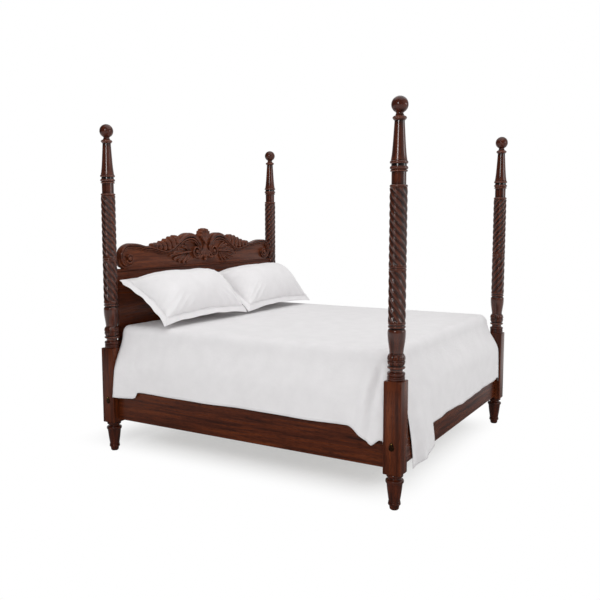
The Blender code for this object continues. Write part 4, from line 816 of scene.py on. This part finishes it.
def crestLeaf(side, hand):
    deep, sink = crestShape["deep"], crestShape["sink"]
    bm = bmesh.new()
    for i, ((rootX, rootZ), (tipX, tipZ)) in enumerate(zip(gadroonRoots, gadroonTips)):
        middle = ((rootX + tipX) / 2 - 0.014, (rootZ + tipZ) / 2 + 0.008)
        half = 0.0255 - 0.0014 * i        # smaller towards the saddle
        lobe(bm, [(tipX, tipZ - 0.004), middle, (rootX, rootZ)], half, 0.021 - 0.001 * i,
             0.004 + 0.0008 * i, deep, 0.55, 0.66, rounded, hand)
    for i, (middle, tip, half) in enumerate(leafTips):        # five upper leaves, four lower
        start = (0.176 + 0.10 * i / 4, 1.372 - 0.008 * i / 4) if i < 5 else \
            (0.250 - 0.020 * (i - 5), 1.358)
        lobe(bm, [start, middle, tip], half * 0.88, 0.018, 0.002 + 0.0035 * (i % 2), sink,
             0.40, 0.74, veined, hand)
        curl = (tip[0] - 0.008 * (tip[0] - middle[0]) / 0.06, tip[1] - 0.002)
        boss(bm, curl, 0.0085, 0.012, hand)        # the rolled tip
    lobe(bm, [(0.172, 1.370), (0.235, 1.368), (0.300, 1.361), (0.385, 1.350)], 0.0095, 0.014,
         0.012, sink, 0.6, 0.3, rounded, hand)        # the midrib
    closeUp(bm)
    addPiece(f"acanthus_{side}", bm, carvedCross, "bed", (f"crest_leaf_{side}",), 50.0)


def crestShell():
    deep, sink = crestShape["deep"], crestShape["sink"]
    rootZ, lowZ = 1.434, 1.430        # where the upper and the lower lobes spring from
    bm = bmesh.new()
    for hand in (-1, 1):
        for degrees, length in ((14, 0.1165), (28, 0.1080), (43, 0.0950)):
            turn = math.radians(degrees)
            lobe(bm, [(0.002, rootZ), (length * 0.5 * math.sin(turn * 0.85),
                                       rootZ + length * 0.5 * math.cos(turn * 0.85)),
                      (length * math.sin(turn), rootZ + length * math.cos(turn))],
                 0.0145, 0.016, 0.010, deep, 0.22, 0.80, rounded, hand)
        for degrees, length in ((13, 0.110), (27, 0.116), (40, 0.108)):
            turn = math.radians(degrees)
            lobe(bm, [(0.003, lowZ), (length * 0.5 * math.sin(turn * 0.7), lowZ - length * 0.5),
                      (length * math.sin(turn), lowZ - length * math.cos(turn))],
                 0.0130, 0.015, 0.009, sink, 0.35, 0.80, rounded, hand)
        lobe(bm, [(0.030, 1.345), (0.062, 1.322), (0.092, 1.318)], 0.0110, 0.016, 0.010,
             sink, 0.5, 0.75, rounded, hand)
    lobe(bm, [(0.0, rootZ), (0.0, 1.490), (0.0, crestTop - 0.0005)], 0.0150, 0.017, 0.011,
         deep, 0.25, 0.80)
    lobe(bm, [(0.0, 1.428), (0.0, 1.370), (0.0, 1.312)], 0.0130, 0.016, 0.010, sink, 0.35, 0.80)
    closeUp(bm)
    boss(bm, (0.0, 1.436), 0.0125, 0.020)
    boss(bm, (0.0, 1.303), 0.0135, 0.012)
    addPiece("palmette", bm, carvedCross, "bed", ("crest_shell",), 50.0)


crestBoard()
crestShell()
for side, hand in sides:
    crestScroll(side, hand)
    crestLeaf(side, hand)
print("crest carved")


beddingShape = {"mattressEdge": 0.048, "springEdge": 0.014, "crown": 0.010, "drawIn": 0.009,
                "springDrawIn": 0.001, "piping": 0.0042, "cuts": 21}


def paddedBox(low, high, edge, crown, drawIn):
    # a rounded block whose sides pull in between its corners and whose top is crowned
    bm = bmesh.new()
    bmesh.ops.create_cube(bm, size=2.0)
    bmesh.ops.subdivide_edges(bm, edges=bm.edges[:], cuts=beddingShape["cuts"],
                              use_grid_fill=True)
    middle, half = (low + high) / 2, (high - low) / 2
    inner = half - Vector((edge, edge, edge))
    for vert in bm.verts:
        share = vert.co.copy()
        point = Vector((share.x * half.x, share.y * half.y, share.z * half.z))
        core = Vector([max(-i, min(i, p)) for i, p in zip(inner, point)])
        out = point - core
        if out.length > 1e-6:
            point = core + out.normalized() * edge
        belly = (1 - share.x ** 2) * (1 - share.y ** 2)
        point.z += crown * (belly - 1) if share.z > 0.5 else 0.0
        pull = drawIn * (1 - abs(share.z) ** 3)
        if abs(share.x) > 0.99:
            point.x -= math.copysign(pull * (1 - share.y ** 6), share.x)
        if abs(share.y) > 0.99:
            point.y -= math.copysign(pull * (1 - share.x ** 6), share.y)
        vert.co = point + middle
    return bm


def pipingLoop(bm, low, high, edge, height, radius):
    # a corded seam that runs round a block at one height
    middle, half = (high + low) / 2, (high - low) / 2
    bend = edge * 0.72 + edge * 0.16
    rim = []
    for sx, sy, start in ((1, 1, 0), (-1, 1, 90), (-1, -1, 180), (1, -1, 270)):
        for step in range(7):
            turn = math.radians(start + 90 * step / 6)
            rim.append((middle.x + sx * (half.x - edge) + bend * math.cos(turn),
                        middle.y + sy * (half.y - edge) + bend * math.sin(turn)))
    last = len(rim)

    def place(u, v):
        i, turn = round(u * last) % last, 2 * math.pi * v
        here, ahead, behind = rim[i], rim[(i + 1) % last], rim[i - 1]
        run = math.hypot(ahead[0] - behind[0], ahead[1] - behind[1])
        out = ((ahead[1] - behind[1]) / run, -(ahead[0] - behind[0]) / run)
        return (here[0] + out[0] * radius * math.cos(turn),
                here[1] + out[1] * radius * math.cos(turn), height + radius * math.sin(turn))

    patch(bm, last, 10, place)


def bedding():
    shape = beddingShape
    edge, crown = shape["mattressEdge"], shape["crown"]
    for name, node, cloth, fill, form in (
            ("mattress_cover", "mattress", damask, 0.9, (edge, crown, shape["drawIn"])),
            *((f"box_spring_cover_{side}", f"box_spring_{side}", ticking, 1.0,
               (shape["springEdge"], 0.0, shape["springDrawIn"]))
              for side in ("left", "right"))):
        low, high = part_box(node)
        bm = paddedBox(low, high, *form)
        closeUp(bm)
        if node == "mattress":
            for height in (low.z + edge * 0.55, high.z - edge * 0.55 - crown):
                pipingLoop(bm, low, high, edge, height, shape["piping"])
        bmesh.ops.remove_doubles(bm, verts=bm.verts, dist=weld)
        faceOut(bm)
        cover = addPiece(name, bm, cloth, "bed", (node,), 50.0)


bedding()
print("mattress and box springs made")


coverletShape = {"shoulder": 0.056, "lift": 0.0045, "headMargin": 0.030, "sideHem": 0.442,
                 "footHem": 0.376, "railClear": 0.010, "flare": 0.22, "thickness": 0.0032,
                 "columns": 168, "rows": 148, "postClear": 0.012, "foldDepth": 0.010,
                 "leftDrop": 0.096, "rightDrop": 0.060, "rightLift": 0.020,
                 "headDrop": 0.046, "headFlare": 0.034, "drift": 0.004, "ripple": 0.0012}
# the left foot corner hangs in a point, and leaves the post lower down
flapShape = {"start": 0.57, "full": 0.66, "drop": 0.126, "tip": 0.078, "inward": 0.110,
             "tipInward": 0.044, "tuck": 0.022, "bulge": 0.026, "bulgeAt": 0.83,
             "bulgeWide": 0.050, "tipBack": 0.010}


def sheetHang(distance, spread):
    # how far out and down the cloth is, at a distance past the flat top's edge
    shoulder = coverletShape["shoulder"]
    quarter = shoulder * math.pi / 2
    if distance <= 0:
        return 0.0, 0.0
    if distance < quarter:
        turn = distance / shoulder
        return shoulder * math.sin(turn), shoulder * (1 - math.cos(turn))
    fall = distance - quarter
    return shoulder + spread * easeIn(fall, 0.0, coverletShape["flare"]), shoulder + fall


def coverlet():
    shape, flap = coverletShape, flapShape
    low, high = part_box("mattress")
    railOut = -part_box("side_rail_left")[0].x
    footOut = -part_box("foot_rail")[0].y
    shoulder, quarter = shape["shoulder"], shape["shoulder"] * math.pi / 2
    top = high.z + shape["lift"]
    halfTop = high.x + shape["lift"] - shoulder
    footTop = low.y - shape["lift"] + shoulder
    head = high.y - shape["headMargin"]
    sideDrop = quarter + (top - shoulder - shape["sideHem"])
    footDrop = quarter + (top - shoulder - shape["footHem"])
    sideSpread = railOut + shape["railClear"] - halfTop - shoulder
    footSpread = footOut + shape["railClear"] + footTop - shoulder
    postLow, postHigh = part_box("post_base_right_foot")
    postInX, postInY = postLow.x - shape["postClear"], -postHigh.y - shape["postClear"]
    width, length = 2 * (halfTop + sideDrop), head - footTop + footDrop
    noise.seed_set(7)

    def place(u, v):
        s, t = (u - 0.5) * width, footTop - footDrop + v * length
        hand = 1 if s > 0 else -1
        overSide, overFoot = abs(s) - halfTop, footTop - t
        sideShare = max(0.0, (overSide - quarter) / (sideDrop - quarter))
        footShare = max(0.0, (overFoot - quarter) / (footDrop - quarter))
        outX, downX = sheetHang(overSide, sideSpread)
        outY, downY = sheetHang(overFoot, footSpread)
        x = hand * (halfTop + outX) if overSide > 0 else s
        y = footTop - outY if overFoot > 0 else t
        z = top - downX - downY
        if overSide > 0 and overFoot > 0:        # stays inside the post at the corner
            if footShare == 0 and y < -postInY:
                y += (-postInY - y) * min(1.0, overSide / quarter)
            if sideShare == 0 and abs(x) > postInX:
                x += (hand * postInX - x) * min(1.0, overFoot / quarter)
        drift = noise.noise(Vector((s * 2.1, t * 2.1, 3.0)))
        ripple = noise.noise(Vector((s * 7.0, t * 7.0, 8.0)))
        if sideShare == 0 and footShare == 0:        # slightly uneven on top
            inside = min(1.0, max(0.0, -max(overSide, overFoot)) / 0.10)
            z += (shape["drift"] * drift + shape["ripple"] * ripple) * inside
        if sideShare > 0:
            lean = math.sin(y * 8.3 + hand * 0.8) + 0.6 * math.sin(y * 17.0 + 1.9 * hand)
            x += hand * shape["foldDepth"] * sideShare * (0.9 + 0.55 * lean + 0.5 * drift)
            z -= 0.0012 * math.sin(y * 6.1 + hand) * sideShare
            z -= shape["headDrop"] * easeIn(y, 0.812, 0.842) * sideShare
            x += hand * shape["headFlare"] * easeIn(y, 0.80, 1.0) * sideShare
            deep = shape["leftDrop"] if hand < 0 else shape["rightDrop"]
            point = min(1.0, max(0.0, (-y - 0.775) / 0.141)) ** 1.3
            z -= deep * (point - 0.62 * easeIn(-y, 0.918, 1.0)) * sideShare ** 1.4
            valley = y + 0.957 - 0.060 * sideShare        # runs down and away from the post
            fold = math.exp(-(valley / 0.019) ** 2) * easeIn(sideShare, -0.05, 0.25)
            ridge = math.exp(-((valley - 0.045) / 0.030) ** 2) * easeIn(sideShare, 0.0, 0.6)
            hollow = 0.026 - 0.016 * easeIn(sideShare, 0.25, 0.75)        # clear of the rail
            x += hand * (0.028 * (1 - 0.45 * sideShare) * ridge - hollow * fold)
        if footShare > 0:
            lean = math.sin(x * 7.1 + 0.5) + 0.6 * math.sin(x * 15.0 + 1.0)
            y -= shape["foldDepth"] * footShare * (0.9 + 0.5 * lean + 0.5 * drift)
            z -= (0.0022 * math.sin(x * 9.0) + 0.0018 * math.sin(x * 31.0)) * footShare
        if footShare > 0 and hand > 0:
            z += shape["rightLift"] * easeIn(x, 0.75, 0.95) * footShare
        elif footShare > 0:
            out = -x
            loose = easeIn(out, flap["start"], flap["full"])
            lower, free = easeIn(footShare, 0.22, 1.0), easeIn(footShare, 0.2, 1.0)
            point = max(0.0, (out - 0.60) / 0.35) ** 1.3
            z -= (flap["drop"] * loose + flap["tip"] * point) * footShare ** 1.5
            x += (flap["inward"] * loose + flap["tipInward"] * easeIn(out, 0.70, 0.95)) * lower
            z += downX * easeIn(footShare, 0.0, 0.4)
            y -= flap["tuck"] * loose * (1 - easeIn(out, 0.70, 0.84)) * lower
            bulge = math.exp(-((out - flap["bulgeAt"]) / flap["bulgeWide"]) ** 2)
            y -= flap["bulge"] * bulge * free
            y += flap["tipBack"] * easeIn(out, 0.86, 0.935) * free
        return (x, y, z)

    def keep(u, v):        # the foot corners are slit, so two corner squares are cut out
        s, t = abs(u - 0.5) * width, footTop - footDrop + v * length
        return not (s - halfTop > quarter * 0.9 and footTop - t > quarter * 0.9)

    bm = bmesh.new()
    patch(bm, shape["columns"], shape["rows"], place, keep)
    faceOut(bm)
    if sum(face.normal.z for face in bm.faces) < 0:
        bmesh.ops.reverse_faces(bm, faces=bm.faces)
    area = sum(face.calc_area() for face in bm.faces)
    cloth = addPiece("matelasse_coverlet", bm, matelasse, "bed", ("coverlet",), 80.0)
    body = cloth.modifiers.new("thickness", "SOLIDIFY")
    body.thickness, body.offset = shape["thickness"], 1.0
    print("coverlet area", round(area, 3), "of", round(width * length, 3))


coverlet()
print("coverlet draped")


pillowShape = {"width": 0.980, "depth": 0.500, "flange": 0.042, "crown": 0.228,
               "upper": 0.74, "rear": 0.18, "drawIn": 0.038, "tilt": 35.0, "seam": 0.0035,
               "flangeThickness": 0.0045, "overlap": 0.016, "wave": 0.0050, "sag": 0.022,
               "droop": 0.040, "cord": 0.0022, "voxel": 0.009, "cap": 0.026, "frames": 20,
               "dent": 0.0110, "crease": 0.0034, "pull": 0.0065}
pillowCloth = {"quality": 6, "mass": 0.35, "tension_stiffness": 12, "compression_stiffness": 12,
               "bending_stiffness": 1.2, "use_pressure": True, "uniform_pressure_force": 4.0,
               "vertex_group_mass": "seam"}


def pillowAt(hand, a, b, out):
    # a place on the seam's plane; the sides pull in between the corners, least at the middle of
    # the bed, where the two shams lean on each other
    shape = pillowShape
    inward = shape["drawIn"] * (0.35 if a * hand < 0 else 1.0)
    return (a * (shape["width"] / 2 - shape["flange"] + out - inward * (1 - b * b)),
            b * (shape["depth"] / 2 - shape["flange"] + out - shape["drawIn"] * 0.8 * (1 - a * a)))


def onSquare(turn):
    # where a direction meets the edge of a square
    c, s = math.cos(turn), math.sin(turn)
    reach = max(abs(c), abs(s))
    return c / reach, s / reach


def pillowBody(hand):
    # a pad whose sides pull in between its corners, fuller above its seam than below
    shape = pillowShape
    bm = bmesh.new()
    for face, share in ((1, shape["upper"]), (-1, 1 - shape["upper"])):
        def place(u, v):
            a, b = 2 * u - 1, 2 * v - 1
            x, y = pillowAt(hand, a, b, 0.0)
            swell = ((1 - abs(a) ** 3.4) * (1 - abs(b) ** 2.2)) ** 0.60 * (1 + shape["rear"] * b)
            return (x, y, face * (shape["seam"] + (shape["crown"] - 2 * shape["seam"])
                                  * share * swell))
        patch(bm, 64, 36, place)
    bmesh.ops.bridge_loops(bm, edges=[edge for edge in bm.edges if edge.is_boundary])
    faceOut(bm)
    return bm


def inflate(piece):
    # swells the pad under air pressure, so that its cloth pulls tight and puckers at the seam
    shape = pillowShape
    remesh = piece.modifiers.new("remesh", "REMESH")
    remesh.mode, remesh.voxel_size = "VOXEL", shape["voxel"]
    start = applied(piece)
    pad = addObject("pad", start)
    pins = pad.vertex_groups.new(name="seam")
    middle = [v.index for v in start.vertices
              if abs(v.co.z) < 0.006 and (abs(v.co.x) > 0.40 or abs(v.co.y) > 0.165)]
    pins.add(middle, 1.0, "REPLACE")
    before = [v.co.copy() for v in start.vertices]
    cloth = pad.modifiers.new("cloth", "CLOTH")
    for name, value in pillowCloth.items():
        setattr(cloth.settings, name, value)
    cloth.settings.effector_weights.gravity = 0.0
    cloth.point_cache.frame_start, cloth.point_cache.frame_end = 1, shape["frames"]
    for frameNumber in range(1, shape["frames"] + 1):
        scene.frame_set(frameNumber)
    mesh = applied(pad)
    for vert, was in zip(mesh.vertices, before):
        move = vert.co - was
        if move.length > shape["cap"]:
            vert.co = was + move.normalized() * shape["cap"]
    scene.frame_set(1)
    return mesh


def sham(side, hand):
    shape = pillowShape
    low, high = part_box(f"pillow_{side}")
    padWide = shape["width"] / 2 - shape["flange"]
    padDeep = shape["depth"] / 2 - shape["flange"]
    pad = addObject("pad_start", pillowBody(hand))
    mesh = inflate(pad)
    bm = bmesh.new()
    bm.from_mesh(mesh)
    bpy.data.meshes.remove(mesh)
    bmesh.ops.smooth_vert(bm, verts=bm.verts, factor=0.5, use_axis_x=True, use_axis_y=True,
                          use_axis_z=True)
    bm.normal_update()
    noise.seed_set(11 if hand > 0 else 5)
    for vert in bm.verts:        # slack cloth: soft dents, and pulls that run in from the corners
        at, x, y = vert.co, vert.co.x / padWide, vert.co.y / padDeep
        dent = noise.noise(at * 5.0 + Vector((0, 0, 4.0 * hand)))
        crease = noise.noise(Vector((at.x * 16.0 + 9.0 * at.y, at.y * 7.0, 2.0 * hand)))
        corner = max(0.0, abs(x) + abs(y) - 0.85)
        pull = math.sin(34.0 * (abs(x) - 0.8 * abs(y)))
        rim = 1 - max(abs(x), abs(y)) ** 6        # still at the seam
        vert.co += vert.normal * (shape["dent"] * dent + shape["crease"] * crease
                                  - shape["pull"] * corner * pull) * rim

    def flangeAt(u, v):        # a ring from just inside the pad to the flange's edge
        turn = 2 * math.pi * u
        a, b = onSquare(turn)
        x, y = pillowAt(hand, a, b, v * (shape["flange"] + shape["overlap"]) - shape["overlap"])
        wave = math.sin(7 * turn + hand) + 0.7 * math.sin(16 * turn + 2.0 * hand)
        z = shape["wave"] * wave * max(0.0, v - 0.28)
        z -= shape["sag"] * v * v * (1 if b < 0.9 else 0.3)
        z -= shape["droop"] * v * v * max(0.0, abs(a) + abs(b) - 1.6)        # at the corners
        return (x, y, z)

    ring = bmesh.new()
    patch(ring, 240, 10, flangeAt)
    bmesh.ops.remove_doubles(ring, verts=ring.verts, dist=0.0001)
    faceOut(ring)
    bmesh.ops.solidify(ring, geom=ring.faces[:], thickness=shape["flangeThickness"])
    faceOut(ring)
    flat = bpy.data.meshes.new("flange")
    ring.to_mesh(flat)
    ring.free()
    bm.from_mesh(flat)
    bpy.data.meshes.remove(flat)

    def seamAt(u, v):        # the corded seam between pad and flange
        spin, cord = 2 * math.pi * v, shape["cord"]
        x, y = pillowAt(hand, *onSquare(2 * math.pi * u), 0.004 + cord * math.cos(spin))
        return (x, y, 0.0025 + cord * math.sin(spin))

    patch(bm, 240, 8, seamAt)
    bmesh.ops.remove_doubles(bm, verts=bm.verts, dist=0.00005)
    bmesh.ops.rotate(bm, verts=bm.verts,
                     matrix=Matrix.Rotation(math.radians(shape["tilt"]), 3, "X"))
    lowest = [min(v.co[i] for v in bm.verts) for i in range(3)]
    highest = [max(v.co[i] for v in bm.verts) for i in range(3)]
    shift = Vector([(low[i] + high[i] - lowest[i] - highest[i]) / 2 for i in range(3)])
    shift.z = low.z - lowest[2]
    bmesh.ops.translate(bm, verts=bm.verts, vec=shift)
    piece = addPiece(f"sham_{side}", bm, percale, f"pillow_{side}", (f"pillow_{side}",),
                     60.0)
    finer = piece.modifiers.new("finer", "SUBSURF")
    finer.levels = finer.render_levels = 1


for side, hand in sides:
    sham(side, hand)
print("shams stuffed")


view = {"place": (-4.615, -2.550, 1.572), "yaw": 59.73, "pitch": -5.93, "lens": 43.02}
lampShape = {"overhead": ((0.0, -0.4, 4.6), (0.0, 0.0, 0.5), (4.5, 4.5), 62),
             "window": ((-5.2, -1.0, 3.2), (0.0, 0.0, 0.8), (1.1, 1.3), 50),
             "fill": ((1.0, -5.6, 2.6), (0.0, 0.0, 0.7), (2.2, 1.6), 36)}


def aim(holder, place, heading):
    holder.location = place
    holder.rotation_euler = heading.to_track_quat("-Z", "Y").to_euler()


cameraData = bpy.data.cameras.new("camera")
cameraData.sensor_width = 36.0
cameraData.lens = view["lens"]
scene.camera = addObject("camera", cameraData)
yaw, pitch = math.radians(view["yaw"]), math.radians(view["pitch"])
aim(scene.camera, view["place"], Vector((math.sin(yaw) * math.cos(pitch),
                                         math.cos(yaw) * math.cos(pitch), math.sin(pitch))))
scene.view_settings.view_transform = "Standard"
for name, (place, target, size, watts) in lampShape.items():
    lamp = bpy.data.lights.new(name, "AREA")
    lamp.shape = "RECTANGLE"
    lamp.size, lamp.size_y = size
    lamp.energy = watts
    aim(addObject(name, lamp), place, Vector(target) - Vector(place))


def seenRays(tree):
    # 1 for what the camera sees directly, in gloss or through glass
    path = addNode(tree, "LightPath").outputs
    both = addNode(tree, "Math", None, {0: path["Is Camera Ray"], 1: path["Is Glossy Ray"]},
                   operation="MAXIMUM")
    return addNode(tree, "Math", None, {0: both, 1: path["Is Transmission Ray"]},
                   operation="MAXIMUM")


def studioWorld():
    # even white light; the camera sees white, and the gloss sees paper hung behind the bed
    world = scene.world = bpy.data.worlds.new("studio")
    world.use_nodes = True
    tree = world.node_tree
    tree.nodes.clear()
    soft = addNode(tree, "Background", {"Color": (1, 1, 1, 1), "Strength": 0.56})
    sight = addNode(tree, "TexCoord").outputs["Generated"]
    sideways = addNode(tree, "VectorMath", {1: (0.86, -0.50, 0.10)}, {0: sight},
                       operation="DOT_PRODUCT")
    paper = addNode(tree, "MapRange", {"From Min": -0.75, "From Max": 0.60, "To Min": 0.06,
                                       "To Max": 0.50}, {"Value": sideways.outputs["Value"]},
                    interpolation_type="SMOOTHSTEP")
    cameraRay = addNode(tree, "LightPath").outputs["Is Camera Ray"]
    level = addNode(tree, "Math", None, {0: paper, 1: cameraRay}, operation="MAXIMUM")
    white = addNode(tree, "Background", {"Color": (1, 1, 1, 1)}, {"Strength": level})
    studio = addNode(tree, "MixShader", None, {0: seenRays(tree), 1: soft, 2: white})
    addNode(tree, "OutputWorld", None, {"Surface": studio})


def paintedFloor(name, colour):
    # a pale matt painted floor, uneven over 400 mm, that keeps the bed's shadow and runs out to
    # white paper
    look = {"middle": (0.06, 0.22, 0.0), "X": (0.66, 1.16), "Y": (0.92, 1.38), "paper": 0.46}
    material, tree, place = newMaterial(name)
    shade = mottled(tree, place, 400.0, 2.0, [(0.3, colour), (0.7, "#ffffff")])[0]
    paint = addNode(tree, "BsdfDiffuse", None, {"Color": shade})
    path = addNode(tree, "LightPath").outputs
    away = addNode(tree, "VectorMath", None, {0: place}, operation="LENGTH")
    offset = addNode(tree, "VectorMath", {1: look["middle"]}, {0: place}, operation="SUBTRACT")
    aside = addNode(tree, "VectorMath", None, {0: offset}, operation="ABSOLUTE")
    axes = addNode(tree, "SeparateXYZ", None, {0: aside}).outputs
    shades = [addNode(tree, "MapRange", {"From Min": look[axis][0], "From Max": look[axis][1],
                                         "To Min": 1.0, "To Max": 0.0}, {"Value": axes[axis]},
                      interpolation_type="SMOOTHSTEP") for axis in "XY"]
    core = addNode(tree, "Math", None, {0: shades[0], 1: shades[1]}, operation="MULTIPLY")
    fade = addNode(tree, "MapRange", {"To Min": 1.0, "To Max": look["paper"]},
                   {"Value": core})        # the shadow lies under the bed and fades out past it
    mirror = addNode(tree, "MapRange", {"From Min": 1.5, "From Max": 4.2, "To Min": 0.14,
                                        "To Max": 0.90}, {"Value": away.outputs["Value"]},
                     interpolation_type="SMOOTHSTEP")        # the lacquer sees the floor darker
    bright = addNode(tree, "Math", None, {0: mirror, 1: path["Is Camera Ray"]},
                     operation="MAXIMUM")
    paper = addNode(tree, "Emission", {"Color": (1, 1, 1, 1)}, {"Strength": bright})
    seen = addNode(tree, "Math", None, {0: fade, 1: seenRays(tree)}, operation="MULTIPLY")
    part = addNode(tree, "Math", None, {0: seen, 1: path["Is Glossy Ray"]}, operation="MAXIMUM")
    both = addNode(tree, "MixShader", None, {0: part, 1: paint, 2: paper})
    addNode(tree, "OutputMaterial", None, {"Surface": both})
    return material


studioWorld()
floorBm = bmesh.new()
bmesh.ops.create_grid(floorBm, x_segments=1, y_segments=1, size=14.0)
floor = addObject("floor", floorBm)
floor.data.materials.append(paintedFloor("painted_floor", "#fafafa"))
print("camera, lamps and floor set")
